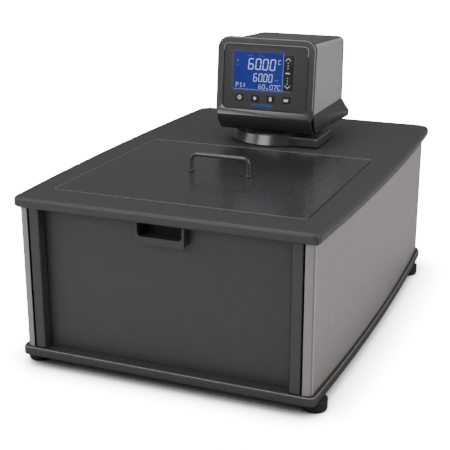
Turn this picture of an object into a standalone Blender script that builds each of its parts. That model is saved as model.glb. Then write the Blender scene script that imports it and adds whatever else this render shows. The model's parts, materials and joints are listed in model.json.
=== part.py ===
"""Heated circulating water bath with a swivelling digital control head.

Metres, +Z up. The origin is on the floor under the middle of the top cover.
The front of the bath faces -Y. Heights in the head are counted from the deck.
"""
import math

import bpy
import bmesh
from mathutils import Matrix, Vector

GAP = 0.0003                      # clearance between pieces that touch
SIDES = {"left": -1, "right": 1}

# Body: plan sizes are half sizes; long sides bow outwards by BOW at mid length
DECK_Z = 0.233
COVER_X, COVER_Y = 0.200, 0.3015
BOW = 0.0085
COVER_LIP_Z = 0.2185
COVER_WALL = 0.0027
DECK_T = 0.005
DECK_UNDER = DECK_Z - DECK_T
COVER_EDGE_R = 0.0048
LOWER_X = -0.0018                 # the tray, skins and grips sit this far off the cover's centre line
TRAY_X, TRAY_Y = 0.200, 0.297
TRAY_Z0, TRAY_Z1 = 0.0155, 0.0274
FOOT_X, FOOT_Y, FOOT_BACK_Y, FOOT_R = 0.1917, -0.266, 0.233, 0.0155

# Skins
SIDE_X, SIDE_Y, SIDE_BOW = 0.194, 0.2925, 0.0094
SHEET = 0.0012
SKIN_Z0, SKIN_Z1 = TRAY_Z1 + GAP, DECK_UNDER - GAP
FRONT_WRAP_X, REAR_WRAP_X = 0.183, 0.170
POST_X0, POST_X1 = 0.1665, 0.1805
POST_Y0 = -0.2925
FRONT_PANEL_Y = -0.2777           # front face of the recessed front panel
REAR_PANEL_Y = 0.2765             # rear face of the rear panel

# Lid and the opening under it
LID_X, LID_Y0, LID_Y1 = 0.1699, -0.2532, 0.0447
LID_R = 0.007
LID_T = 0.0024
LID_CLEAR = 0.0008
OPENING_INSET = 0.0082
HANDLE_X, HANDLE_Y, HANDLE_H, ROD_R = 0.0415, -0.1070, 0.0245, 0.0030
HANDLE_BEND = 0.009
STUD_R = 0.0018
LID_FLANGE_INSET, LID_FLANGE_H = 0.0097, 0.010

# Tank
TANK_X, TANK_Y0, TANK_Y1 = 0.1645, -0.2535, 0.2215
TANK_WALL = 0.0015
TANK_BASE_Z = 0.0345
TANK_R = 0.022
TANK_FLANGE = 0.008

# Grips
GRIP_X, GRIP_Z0, GRIP_Z1 = 0.0325, 0.1898, 0.2272
GRIP_OPEN_X, GRIP_OPEN_Z0 = 0.0295, 0.1993
GRIP_OPEN_Z1 = 0.2255
GRIP_PROUD_Y, GRIP_BACK_Y = -0.2915, -0.2672

# Swivel base and wet end, on one vertical axis
AXIS_Y = 0.133
BASE_R0, BASE_R1, BASE_H = 0.0725, 0.0675, 0.0175
NECK_R, NECK_H = 0.0400, 0.0285
BLOCK_X0, BLOCK_X1, BLOCK_Y0, BLOCK_Y1, BLOCK_H = 0.030, 0.080, 0.0745, 0.150, 0.0150
SLEEVE_R, SLEEVE_BORE, SLEEVE_Z0 = 0.014, 0.009, 0.2174
DECK_HOLE_R = 0.0155
BRIDGE_R, BRIDGE_T = 0.0595, 0.003
SHAFT_R = 0.003
PUMP_Z0, PUMP_Z1, PUMP_R = 0.080, 0.108, 0.030
COIL_R, COIL_TUBE_R, COIL_Z0, COIL_Z1 = 0.050, 0.004, 0.048, 0.074
STEM_X, FLOAT_Z0, FLOAT_Z1 = -0.045, 0.168, 0.188

# Head: the face leans back; the top slopes down to the rear
FACE_Y, FACE_Z, LEAN = 0.0600, 0.055, 0.0998
LEAN_ANGLE = math.atan(LEAN)
HEAD_X = 0.076
HEAD_TOP_FRONT = 0.1590           # top of the bezel
SHELL_TOP, TOP_SLOPE = 0.1545, 0.050
SHOULDERS = {"left": (0.022, 45), "right": (0.009, 57)}   # radius, and degrees that the side skin wraps
SKIN_STEP = 0.0015                # the shell is cut back this much under the side skins
HEAD_BACK_Y = 0.2078
REAR_COVER_T = 0.0027
SHELL_T = 0.0025
SKIRT_Z = 0.0520                  # lower edge of the head sides
COWL_Z, COWL_BAND_Z = 0.0234, 0.0320
COWL_BACK_X, COWL_BACK_Y = 0.0870, 0.2170
BEZEL_T, BEZEL_R = 0.0055, 0.018
CHIN_X = 0.0727
SHELL_Y0, SHELL_Y1 = FACE_Y + BEZEL_T + GAP, HEAD_BACK_Y - GAP
PANEL_X, PANEL_V0, PANEL_V1, PANEL_R = 0.0642, -0.0002, 0.0938, 0.006
PANEL_SINK, PANEL_T = 0.0012, 0.0022
LCD_X0, LCD_X1, LCD_V0, LCD_V1 = -0.0485, 0.0268, 0.0290, 0.0824
STRIP_X0, STRIP_X1, STRIP_V0, STRIP_V1 = 0.0283, 0.0425, 0.0303, 0.0804
KEY_W, KEY_H, KEY_V, KEY_PITCH, KEY_FIRST_X = 0.0110, 0.0090, 0.0162, 0.0243, -0.0386
KEY_CLEAR, KEY_PROUD, KEY_DEPTH = 0.0004, 0.0006, 0.0030

# Rear services
VENT_SLOTS, VENT_Z, VENT_PITCH, VENT_X, VENT_H = 6, 0.075, 0.010, 0.050, 0.0035
DRAIN_X, DRAIN_Z, DRAIN_AXIS_Y = 0.120, 0.060, 0.2885
PORTS, PORT_Z = {"port_outlet": -0.090, "port_return": -0.130}, 0.150
INLET_X, INLET_Z = -0.035, DECK_Z + 0.0800
BREAKER_X, BREAKER_Z = 0.010, DECK_Z + 0.0800
ROCKER_Y, ROCKER_TILT = 0.2070, math.radians(-8)
DATA_X, DATA_Z = 0.045, DECK_Z + 0.0800

FINISHES = {
    "charcoal": ((0.050, 0.050, 0.055), 0.45, 0.0),
    "black": ((0.008, 0.008, 0.009), 0.35, 0.0),
    "rubber": ((0.020, 0.020, 0.020), 0.80, 0.0),
    "grey_metal": ((0.27, 0.26, 0.255), 0.38, 0.8),
    "steel": ((0.60, 0.60, 0.60), 0.25, 1.0),
    "brass": ((0.60, 0.45, 0.20), 0.30, 1.0),
    "display": ((0.02, 0.06, 0.40), 0.20, 0.0),
    "glass": ((0.80, 0.85, 0.90), 0.05, 0.0),
    "board": ((0.02, 0.16, 0.06), 0.50, 0.0),
    "foam": ((0.70, 0.66, 0.50), 0.90, 0.0),
    "white": ((0.80, 0.80, 0.78), 0.40, 0.0),
}


# ---------------------------------------------------------------- helpers
def new_collection(name):
    made = bpy.data.collections.new(name)
    bpy.context.scene.collection.children.link(made)
    return made


def paint(obj, finish):
    """Give the object its own material."""
    color, roughness, metallic = FINISHES[finish]
    material = bpy.data.materials.new(obj.name + "_material")
    material.use_nodes = True
    shader = material.node_tree.nodes["Principled BSDF"]
    shader.inputs["Base Color"].default_value = (*color, 1.0)
    shader.inputs["Roughness"].default_value = roughness
    shader.inputs["Metallic"].default_value = metallic
    obj.data.materials.clear()
    obj.data.materials.append(material)


def keep(obj, finish):
    """Make the object one of the water bath's parts."""
    PARTS.objects.link(obj)
    obj.data.shade_smooth()
    obj.data.set_sharp_from_angle(angle=math.radians(35))
    paint(obj, finish)
    return obj


def combine(target, tool, operation):
    """Cut, join or intersect target with tool, which becomes a hidden guide that follows it."""
    CUTTERS.objects.link(tool)
    tool.parent = target
    tool.matrix_parent_inverse = target.matrix_basis.inverted()
    tool.hide_render = True
    tool.display_type = "WIRE"
    modifier = target.modifiers.new(operation.lower(), "BOOLEAN")
    modifier.operation = operation
    modifier.object = tool
    return target


def cut(target, *tools):
    for tool in tools:
        combine(target, tool, "DIFFERENCE")
    return target


def join(target, *tools):
    for tool in tools:
        combine(target, tool, "UNION")
    return target


def soften(obj, width, segments=1, angle=40):
    bevel = obj.modifiers.new("soften", "BEVEL")
    bevel.limit_method = "ANGLE"
    bevel.angle_limit = math.radians(angle)
    bevel.width = width
    bevel.segments = segments
    return obj


def from_bmesh(name, bm):
    bmesh.ops.recalc_face_normals(bm, faces=bm.faces)
    mesh = bpy.data.meshes.new(name)
    bm.to_mesh(mesh)
    bm.free()
    return bpy.data.objects.new(name, mesh)


def curve_to_mesh(name, curve):
    """Turn a curve datablock into a welded mesh object."""
    source = bpy.data.objects.new(name + "_curve", curve)
    bpy.context.scene.collection.objects.link(source)
    bpy.context.view_layer.update()
    evaluated = source.evaluated_get(bpy.context.evaluated_depsgraph_get())
    raw = bpy.data.meshes.new_from_object(evaluated)
    bpy.data.objects.remove(source, do_unlink=True)
    bm = bmesh.new()
    bm.from_mesh(raw)
    bmesh.ops.remove_doubles(bm, verts=bm.verts, dist=0.00001)
    bmesh.ops.dissolve_limit(bm, angle_limit=math.radians(0.1), verts=bm.verts, edges=bm.edges)
    return from_bmesh(name, bm)


def prism(name, outlines, low, high, axis="Z"):
    """A flat outline, with any holes, extruded from low to high along axis.

    The outline's points are (x, y) along Z, (x, z) along Y and (y, z) along X.
    """
    curve = bpy.data.curves.new(name, "CURVE")
    curve.dimensions = "2D"
    curve.fill_mode = "BOTH"
    curve.extrude = (high - low) / 2
    for points in outlines:
        spline = curve.splines.new("POLY")
        spline.points.add(len(points) - 1)
        for point, (a, b) in zip(spline.points, points):
            point.co = (a, b, 0, 1)
        spline.use_cyclic_u = True
    obj = curve_to_mesh(name, curve)
    middle = (low + high) / 2
    if axis == "Z":
        obj.location = (0, 0, middle)
    elif axis == "Y":
        obj.location = (0, middle, 0)
        obj.rotation_euler = (math.pi / 2, 0, 0)
    else:
        obj.location = (middle, 0, 0)
        obj.rotation_euler = (math.pi / 2, 0, math.pi / 2)
    return obj


def box(name, low, high):
    bm = bmesh.new()
    bmesh.ops.create_cube(bm, size=1.0)
    size = [b - a for a, b in zip(low, high)]
    bmesh.ops.scale(bm, vec=size, verts=bm.verts)
    obj = from_bmesh(name, bm)
    obj.location = [(a + b) / 2 for a, b in zip(low, high)]
    return obj


def cylinder(name, radius, start, end, sides=24, end_radius=None):
    """A cylinder or cone from the point start to the point end."""
    start, end = Vector(start), Vector(end)
    bm = bmesh.new()
    bmesh.ops.create_cone(bm, cap_ends=True, segments=sides, radius1=radius,
                          radius2=radius if end_radius is None else end_radius,
                          depth=(end - start).length)
    obj = from_bmesh(name, bm)
    obj.location = (start + end) / 2
    obj.rotation_euler = (end - start).to_track_quat("Z", "Y").to_euler()
    return obj


def turned(name, profile, location, sides=32, direction="Z"):
    """A (radius, height) profile turned about an axis through location.

    The profile either closes on itself or starts and ends on the axis.
    """
    mesh = bpy.data.meshes.new(name)
    count = len(profile)
    on_axis = profile[0][0] == 0
    doubled_area = sum(a[0] * b[1] - b[0] * a[1] for a, b in zip(profile, profile[1:] + profile[:1]))
    if doubled_area > 0:
        profile = profile[::-1]
    edges = [(i, i + 1) for i in range(count - 1)] + ([] if on_axis else [(count - 1, 0)])
    mesh.from_pydata([(r, 0, z) for r, z in profile], edges, [])
    obj = bpy.data.objects.new(name, mesh)
    screw = obj.modifiers.new("turn", "SCREW")
    screw.steps = sides
    screw.render_steps = sides
    screw.use_merge_vertices = True
    screw.merge_threshold = 0.00001
    obj.location = location
    if direction == "Y":
        obj.rotation_euler = (-math.pi / 2, 0, 0)
    return obj


def rod(name, points, radius, resolution=4):
    """A round bar along a polyline."""
    curve = bpy.data.curves.new(name, "CURVE")
    curve.dimensions = "3D"
    curve.bevel_depth = radius
    curve.bevel_resolution = resolution
    curve.use_fill_caps = True
    spline = curve.splines.new("POLY")
    spline.points.add(len(points) - 1)
    for point, position in zip(spline.points, points):
        point.co = (*position, 1)
    return curve_to_mesh(name, curve)


def arc(cx, cy, radius, start, end, steps):
    """Points on an arc, in degrees."""
    angles = [math.radians(start + (end - start) * i / steps) for i in range(steps + 1)]
    return [(cx + radius * math.cos(a), cy + radius * math.sin(a)) for a in angles]


def rounded(x0, y0, x1, y1, radii, steps=4):
    """Rectangle with corner radii in the order low-left, low-right, high-right, high-left."""
    corners = ((x0, y0, 1, 1, 180), (x1, y0, -1, 1, 270), (x1, y1, -1, -1, 0), (x0, y1, 1, -1, 90))
    points = []
    for (x, y, sx, sy, start), radius in zip(corners, radii):
        if radius == 0:
            points.append((x, y))
        else:
            points += arc(x + sx * radius, y + sy * radius, radius, start, start + 90, steps)
    return points


def bowed_side(half_x, half_y, bow, y):
    return half_x + bow * (1 - (y / half_y) ** 2)


def bowed_path(half_x, half_y, bow, front_r, back_r, front_x, back_x):
    """Right half of a bowed outline, from the front edge round to the back edge."""
    y_start, y_end = -half_y + front_r, half_y - back_r
    x_start = bowed_side(half_x, half_y, bow, y_start)
    x_end = bowed_side(half_x, half_y, bow, y_end)
    front = arc(x_start - front_r, y_start, front_r, -90, 0, 4)
    back = arc(x_end - back_r, y_end, back_r, 0, 90, 5)
    steps = 8
    side = []
    for i in range(1, steps):
        y = y_start + (y_end - y_start) * i / steps
        side.append((bowed_side(half_x, half_y, bow, y), y))
    ends = ([(front_x, -half_y)] if front_x else []), ([(back_x, half_y)] if back_x else [])
    return ends[0] + front + side + back + ends[1]


def bowed_outline(half_x, half_y, bow, front_r, back_r):
    right = bowed_path(half_x, half_y, bow, front_r, back_r, None, None)
    return right + [(-x, y) for x, y in reversed(right)]


def offset_path(path, distance):
    """The open path moved to its left by distance."""
    moved = []
    for i, point in enumerate(path):
        before = Vector(path[max(i - 1, 0)])
        after = Vector(path[min(i + 1, len(path) - 1)])
        here = Vector(point)
        sides = []
        for a, b in ((before, here), (here, after)):
            if (b - a).length > 0:
                d = (b - a).normalized()
                sides.append(Vector((-d.y, d.x)))
        normal = sum(sides, Vector((0, 0))).normalized()
        moved.append(tuple(here + normal * distance / normal.dot(sides[0])))
    return moved


def mirrored(points):
    return [(-x, y) for x, y in points]


def on_face(obj, u, v, w):
    """Place an object made in its XY plane on the leaning face of the head."""
    up = Vector((0, math.sin(LEAN_ANGLE), math.cos(LEAN_ANGLE)))
    out = Vector((0, -math.cos(LEAN_ANGLE), math.sin(LEAN_ANGLE)))
    origin = Vector((0, FACE_Y, DECK_Z + FACE_Z))
    obj.location = origin + Vector((u, 0, 0)) + up * v + out * w
    obj.rotation_euler = (math.pi / 2 - LEAN_ANGLE, 0, 0)
    return obj


def face_prism(name, outlines, w0, w1, u=0.0, v=0.0):
    return on_face(prism(name, outlines, w0, w1), u, v, (w0 + w1) / 2)


def face_y(z):
    """Y of the head's face at a height above the deck."""
    return FACE_Y + LEAN * (z - FACE_Z)


def shoulder(side, top, inset, start, end, steps=4):
    """Points round an upper corner of the head, from start to end degrees up from its side."""
    radius = SHOULDERS[side][0]
    points = arc(HEAD_X - radius, top - radius, radius - inset, start, end, steps)
    return points if side == "right" else mirrored(points)


def ride_on(pivot_name, location, objects, shift=0.0):
    """Parent objects to an empty on their joint's axis, then move it by shift along X."""
    pivot = bpy.data.objects.new(pivot_name, None)
    pivot.location = location
    pivot.location.x += shift
    PARTS.objects.link(pivot)
    for obj in objects:
        obj.parent = pivot
        obj.matrix_parent_inverse = Matrix.Translation(location).inverted()


# ---------------------------------------------------------------- body
def make_base_tray():
    tray = prism("base_tray", [bowed_outline(TRAY_X, TRAY_Y, BOW, 0.009, 0.026)], TRAY_Z0, TRAY_Z1)
    soften(tray, 0.0022, 2, 60)
    inside = [bowed_outline(SIDE_X - 0.004, REAR_PANEL_Y - 0.001, SIDE_BOW, 0.006, 0.016)]
    cut(tray, prism("tray_hollow", inside, TRAY_Z0 + 0.004, TRAY_Z1 + 0.01))
    return [keep(tray, "charcoal")]


def make_feet():
    top = TRAY_Z0 - GAP
    profile = [(0, top), (FOOT_R, top), (FOOT_R, 0.004), (FOOT_R - 0.0035, 0), (0, 0)]
    feet = []
    for end, y in (("front", FOOT_Y), ("rear", FOOT_BACK_Y)):
        for side, x in SIDES.items():
            feet.append(keep(turned(f"foot_{end}_{side}", profile, (x * FOOT_X, y, 0), 20), "rubber"))
    return feet


def make_side_panels():
    outer = bowed_path(SIDE_X, SIDE_Y, SIDE_BOW, 0.007, 0.018, FRONT_WRAP_X, REAR_WRAP_X)
    outline = outer + offset_path(outer, SHEET)[::-1]
    right = prism("side_panel_right", [outline], SKIN_Z0, SKIN_Z1)
    left = prism("side_panel_left", [mirrored(outline)], SKIN_Z0, SKIN_Z1)
    return [keep(panel, "grey_metal") for panel in (left, right)]


def grip_outline(grow=0.0):
    return rounded(-GRIP_X - grow, GRIP_Z0 - grow, GRIP_X + grow, GRIP_Z1 + grow, (0.004, 0.004, 0, 0))


def make_front_and_rear():
    panel_outline = rounded(-0.186, SKIN_Z0, 0.186, SKIN_Z1, (0, 0, 0, 0))
    front = prism("front_panel", [panel_outline, grip_outline(GAP)],
                  FRONT_PANEL_Y, FRONT_PANEL_Y + SHEET, "Y")
    holes = [grip_outline(GAP), arc(-DRAIN_X, DRAIN_Z, 0.0105, 0, 345, 23)]
    holes += [arc(-x, PORT_Z, 0.0085, 0, 345, 23) for x in PORTS.values()]
    for i in range(VENT_SLOTS):
        z = VENT_Z + i * VENT_PITCH
        holes.append(rounded(-VENT_X, z, VENT_X, z + VENT_H, (0, 0, 0, 0)))
    rear_outline = [mirrored(points) for points in [panel_outline] + holes]
    rear = prism("rear_panel", rear_outline, REAR_PANEL_Y - SHEET, REAR_PANEL_Y, "Y")
    for side in SIDES.values():
        low, high = sorted((side * POST_X0, side * POST_X1))
        post = box("front_post", (low, POST_Y0, SKIN_Z0), (high, FRONT_PANEL_Y + SHEET / 2, SKIN_Z1))
        join(front, soften(post, 0.0010))
    return [keep(panel, "charcoal") for panel in (front, rear)]


def make_grip(name, facing):
    """A finger pocket in a bezel that stands proud of its panel; facing is -1 at the front."""
    def span(a, b):
        return sorted((-facing * a, -facing * b))
    grip = prism(name, [grip_outline()], *span(GRIP_PROUD_Y, GRIP_BACK_Y), "Y")
    pocket = rounded(-GRIP_OPEN_X, GRIP_OPEN_Z0, GRIP_OPEN_X, GRIP_OPEN_Z1, (0.005, 0.005, 0, 0))
    cut(grip, prism(name + "_pocket", [pocket], *span(GRIP_PROUD_Y - 0.002, GRIP_BACK_Y - 0.0015), "Y"))
    return keep(grip, "charcoal")


def lid_outline(grow, radius):
    return rounded(-LID_X - grow, LID_Y0 - grow, LID_X + grow, LID_Y1 + grow, (radius,) * 4)


def make_top_cover():
    cover = prism("top_cover", [bowed_outline(COVER_X, COVER_Y, BOW, 0.009, 0.022)], COVER_LIP_Z, DECK_Z)
    soften(cover, COVER_EDGE_R, 3, 60)
    hollow = bowed_outline(COVER_X - COVER_WALL, COVER_Y - COVER_WALL, BOW, 0.006, 0.018)
    cut(cover,
        prism("cover_hollow", [hollow], COVER_LIP_Z - 0.01, DECK_UNDER),
        prism("cover_rebate", [lid_outline(LID_CLEAR, LID_R + LID_CLEAR)],
              DECK_Z - LID_T - GAP, DECK_Z + 0.01),
        prism("cover_opening", [lid_outline(-OPENING_INSET, LID_R)], DECK_UNDER - 0.01, DECK_Z + 0.01),
        cylinder("cover_hole", DECK_HOLE_R, (0, AXIS_Y, DECK_UNDER - 0.01), (0, AXIS_Y, DECK_Z + 0.01), 32))
    keep(cover, "charcoal")


def make_tank():
    """Open tank with an outward flange at its rim."""
    top = DECK_UNDER - GAP
    corner = (TANK_R,) * 4
    tank = prism("reservoir_tank", [rounded(-TANK_X, TANK_Y0, TANK_X, TANK_Y1, corner)], TANK_BASE_Z, top)
    flange_corner = (TANK_R + TANK_FLANGE,) * 4
    flange = rounded(-TANK_X - TANK_FLANGE, TANK_Y0 - TANK_FLANGE, TANK_X + TANK_FLANGE,
                     TANK_Y1 + TANK_FLANGE, flange_corner)
    join(tank, prism("tank_flange", [flange], top - TANK_WALL, top))
    inner_corner = (TANK_R - TANK_WALL,) * 4
    inside = rounded(-TANK_X + TANK_WALL, TANK_Y0 + TANK_WALL, TANK_X - TANK_WALL,
                     TANK_Y1 - TANK_WALL, inner_corner)
    cut(tank, prism("tank_inside", [inside], TANK_BASE_Z + TANK_WALL, top + 0.01))
    keep(tank, "steel")


def make_insulation():
    """Open box of foam round the tank, below its flange."""
    thick = 0.012
    low, high = TANK_BASE_Z - 0.0055, DECK_UNDER - 0.0035
    outer = rounded(-TANK_X - thick, TANK_Y0 - thick, TANK_X + thick, TANK_Y1 + thick,
                    (TANK_R + thick,) * 4)
    inner = rounded(-TANK_X - 0.001, TANK_Y0 - 0.001, TANK_X + 0.001, TANK_Y1 + 0.001,
                    (TANK_R + 0.001,) * 4)
    jacket = prism("insulation_jacket", [outer], low, high)
    cut(jacket, prism("jacket_inside", [inner], TANK_BASE_Z - 0.0005, high + 0.01))
    keep(jacket, "foam")


# ---------------------------------------------------------------- lid
def make_lid():
    """Sheet lid whose downturned flange drops into the deck's opening, with its handle."""
    stud_holes = [arc(side * HANDLE_X, HANDLE_Y, STUD_R + GAP, 0, 330, 11) for side in SIDES.values()]
    under = DECK_Z - LID_T
    lid = prism("lid", [lid_outline(0, LID_R)] + stud_holes, under, DECK_Z)
    flange = [lid_outline(-LID_FLANGE_INSET, LID_R), lid_outline(-LID_FLANGE_INSET - SHEET, LID_R)]
    join(lid, prism("lid_flange", flange, under - LID_FLANGE_H, under + LID_T / 2))
    parts = [keep(lid, "charcoal"), make_handle()]
    hole = ROD_R + GAP
    ferrule = [(hole, DECK_Z + GAP), (0.0050, DECK_Z + GAP), (0.0050, DECK_Z + 0.0022),
               (0.0042, DECK_Z + 0.0030), (hole, DECK_Z + 0.0030)]
    nut_hole, nut_top = STUD_R + GAP, under - GAP
    nut = [(nut_hole, nut_top), (0.0042, nut_top), (0.0042, nut_top - 0.003), (nut_hole, nut_top - 0.003)]
    for side, x in SIDES.items():
        place = (x * HANDLE_X, HANDLE_Y, 0)
        parts.append(keep(turned(f"handle_ferrule_{side}", ferrule, place, 20), "black"))
        parts.append(keep(turned(f"handle_nut_{side}", nut, place, 6), "steel"))
    ride_on("lid_axis", (0, HANDLE_Y, DECK_Z), parts)


def make_handle():
    """Bent round bar whose two legs end in studs that pass through the lid."""
    top, foot = DECK_Z + HANDLE_H, DECK_Z + GAP
    corner = HANDLE_X - HANDLE_BEND
    left = arc(-corner, top - HANDLE_BEND, HANDLE_BEND, 180, 90, 6)
    right = arc(corner, top - HANDLE_BEND, HANDLE_BEND, 90, 0, 6)
    route = [(-HANDLE_X, foot)] + left + right + [(HANDLE_X, foot)]
    bar = rod("lid_handle", [(x, HANDLE_Y, z) for x, z in route], ROD_R, 3)
    for side in SIDES.values():
        x = side * HANDLE_X
        low, high = (x, HANDLE_Y, DECK_Z - 0.0065), (x, HANDLE_Y, foot + 0.004)
        join(bar, cylinder("handle_stud", STUD_R, low, high, 12))
    return keep(bar, "black")


# ---------------------------------------------------------------- pump and heater
def make_swivel_base():
    """Low turned base with a square block at its right, and a sleeve down through the deck."""
    base_bottom = DECK_Z + GAP
    top, neck = DECK_Z + BASE_H, DECK_Z + NECK_H
    profile = [(SLEEVE_BORE, neck), (NECK_R, neck), (NECK_R, top), (BASE_R1 - 0.002, top),
               (BASE_R1, top - 0.002), (BASE_R0, base_bottom + 0.002), (BASE_R0 - 0.001, base_bottom),
               (SLEEVE_R, base_bottom), (SLEEVE_R, SLEEVE_Z0), (SLEEVE_BORE, SLEEVE_Z0)]
    base = turned("swivel_base", profile, (0, AXIS_Y, 0), 48)
    block = box("base_block", (BLOCK_X0, BLOCK_Y0, base_bottom), (BLOCK_X1, BLOCK_Y1, DECK_Z + BLOCK_H))
    keep(join(base, soften(block, 0.0022)), "black")


def make_bridge():
    """Plate under the deck that carries the pump and heater, and the nut that clamps it to the base."""
    top = DECK_UNDER - GAP
    outline = [arc(0, AXIS_Y, BRIDGE_R, 0, 352.5, 47), arc(0, AXIS_Y, SLEEVE_R + GAP, 0, 345, 23)]
    keep(prism("bridge_plate", outline, top - BRIDGE_T, top), "steel")
    nut_top, nut_bore = under_bridge(), SLEEVE_R + GAP
    nut = [(nut_bore, nut_top), (0.022, nut_top), (0.022, nut_top - 0.006), (nut_bore, nut_top - 0.006)]
    keep(turned("clamp_nut", nut, (0, AXIS_Y, 0), 24), "brass")


def under_bridge():
    return DECK_UNDER - GAP - BRIDGE_T - GAP


def make_pump():
    neck = DECK_Z + NECK_H + GAP
    bore = SHAFT_R + 0.0005
    motor_profile = [(0, neck + 0.074), (0.024, neck + 0.074), (0.030, neck + 0.070),
                     (0.030, neck + 0.006), (0.0455, neck + 0.006), (0.0455, neck + 0.003),
                     (NECK_R - 0.001, neck + 0.003), (NECK_R - 0.001, neck), (bore, neck),
                     (bore, neck + 0.045), (0, neck + 0.045)]
    motor = turned("pump_motor", motor_profile, (0, AXIS_Y, 0), 32)
    keep(motor, "black")
    column_r, column_bore = SLEEVE_BORE - GAP, 0.0045
    wall_r, under_top = PUMP_R - 0.002, PUMP_Z1 - 0.003
    housing_profile = [(column_bore, PUMP_Z1), (PUMP_R, PUMP_Z1), (PUMP_R, PUMP_Z0), (wall_r, PUMP_Z0),
                       (wall_r, under_top), (column_bore, under_top)]
    housing = turned("pump_housing", housing_profile, (0, AXIS_Y, 0), 32)
    nozzle_x, nozzle_y, nozzle_z = 0.018, AXIS_Y - PUMP_R, PUMP_Z0 + 0.015
    nozzle = cylinder("pump_nozzle", 0.006, (nozzle_x, nozzle_y + 0.004, nozzle_z),
                      (nozzle_x, nozzle_y - 0.030, nozzle_z), 16)
    bore_cut = cylinder("nozzle_bore", 0.0045, (nozzle_x, nozzle_y + 0.010, nozzle_z),
                        (nozzle_x, nozzle_y - 0.040, nozzle_z), 16)
    hollow = cylinder("pump_hollow", wall_r, (0, AXIS_Y, PUMP_Z0 - 0.01), (0, AXIS_Y, under_top), 32)
    keep(cut(join(housing, nozzle), hollow, bore_cut), "steel")
    low, high = PUMP_Z1 + GAP, SLEEVE_Z0 + 0.006
    column = [(column_bore, high), (column_r, high), (column_r, low), (column_bore, low)]
    keep(turned("pump_column", column, (0, AXIS_Y, 0), 24), "steel")


def make_rotor():
    """Pump shaft and impeller, which turn together."""
    shaft_top = DECK_Z + NECK_H + 0.040
    shaft = cylinder("pump_shaft", SHAFT_R, (0, AXIS_Y, PUMP_Z0 + 0.003), (0, AXIS_Y, shaft_top), 16)
    outline = []
    vanes, sweep = 6, 22
    for i in range(vanes):
        start = i * 360 / vanes
        outline += arc(0, 0, 0.009, start, start + 36, 3)
        outline += arc(0, 0, 0.023, start + sweep + 24, start + sweep + 30, 1)
    hole = arc(0, 0, SHAFT_R + GAP, 0, 337.5, 15)
    impeller = prism("impeller", [outline, hole], PUMP_Z0 + 0.006, PUMP_Z0 + 0.020)
    impeller.location.y = AXIS_Y
    ride_on("pump_axis", (0, AXIS_Y, PUMP_Z0), [keep(shaft, "steel"), keep(impeller, "white")])


def make_heater_coil():
    """One tube: down a leg, round the coil, in under it and up the inner leg."""
    turns, per_turn, leg_r = 3, 20, 0.039
    top = under_bridge()
    points = [(COIL_R, 0, top), (COIL_R, 0, COIL_Z1 + 0.012)]
    for i in range(turns * per_turn + 1):
        angle = 2 * math.pi * i / per_turn + 0.2
        z = COIL_Z1 - (COIL_Z1 - COIL_Z0) * i / (turns * per_turn)
        points.append((COIL_R * math.cos(angle), COIL_R * math.sin(angle), z))
    end = 2 * math.pi * turns + 0.2
    for turn, radius, z in ((0.15, 0.045, COIL_Z0 - 0.001), (0.30, leg_r + 0.002, COIL_Z0 + 0.001),
                            (0.45, leg_r, COIL_Z0 + 0.008), (0.45, leg_r, top)):
        points.append((radius * math.cos(end + turn), radius * math.sin(end + turn), z))
    coil = rod("heater_coil", [(x, AXIS_Y + y, z) for x, y, z in points], COIL_TUBE_R, 2)
    keep(coil, "steel")


def make_sensors():
    top = under_bridge()
    probe = cylinder("temperature_probe", 0.0025, (0, AXIS_Y + 0.048, 0.092), (0, AXIS_Y + 0.048, top), 12)
    keep(probe, "steel")
    stop = FLOAT_Z0 - GAP
    foot = stop - 0.002
    profile = [(0, top), (0.002, top), (0.002, stop), (0.005, stop), (0.005, foot), (0, foot)]
    keep(turned("float_stem", profile, (STEM_X, AXIS_Y, 0), 12), "steel")
    profile = [(0.0025, FLOAT_Z1), (0.010, FLOAT_Z1), (0.010, FLOAT_Z0), (0.0025, FLOAT_Z0)]
    keep(turned("level_float", profile, (STEM_X, AXIS_Y, 0), 20), "white")


# ---------------------------------------------------------------- rear fittings
def make_rear_fittings():
    tube_y = TANK_Y1 + 0.0145
    profile = [(0, 0.2985), (0.0050, 0.2985), (0.0050, 0.2935), (0.0080, 0.2925), (0.0080, 0.2800),
               (0.0130, 0.2800), (0.0130, REAR_PANEL_Y + GAP), (0.0100, REAR_PANEL_Y + GAP),
               (0.0100, tube_y), (0, tube_y)]
    drain = turned("drain_fitting", profile, (DRAIN_X, 0, DRAIN_Z), 24, "Y")
    bore = cylinder("drain_bore", 0.0032, (DRAIN_X, 0.2905, DRAIN_Z), (DRAIN_X, 0.305, DRAIN_Z), 16)
    made = [keep(cut(drain, bore), "steel")]
    spindle_z = DRAIN_Z + 0.0083
    handle = box("drain_handle", (-0.0080, -0.0028, 0.0030), (0.0080, 0.0028, 0.0060))
    hub = cylinder("drain_hub", 0.0034, (0, 0, 0), (0, 0, 0.0045), 16)
    for piece in (handle, hub):
        piece.location += Vector((DRAIN_X, DRAIN_AXIS_Y, spindle_z))
    made.append(keep(join(soften(handle, 0.0010, 1), hub), "rubber"))
    flange = REAR_PANEL_Y + GAP
    profile = [(0, 0.2935), (0.0066, 0.2935), (0.0075, 0.2925), (0.0075, flange + 0.004),
               (0.0115, flange + 0.004), (0.0115, flange), (0.0080, flange), (0.0080, 0.2400), (0, 0.2400)]
    for name, x in PORTS.items():
        made.append(keep(turned(name, profile, (x, 0, PORT_Z), 18, "Y"), "brass"))
    return made


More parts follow.
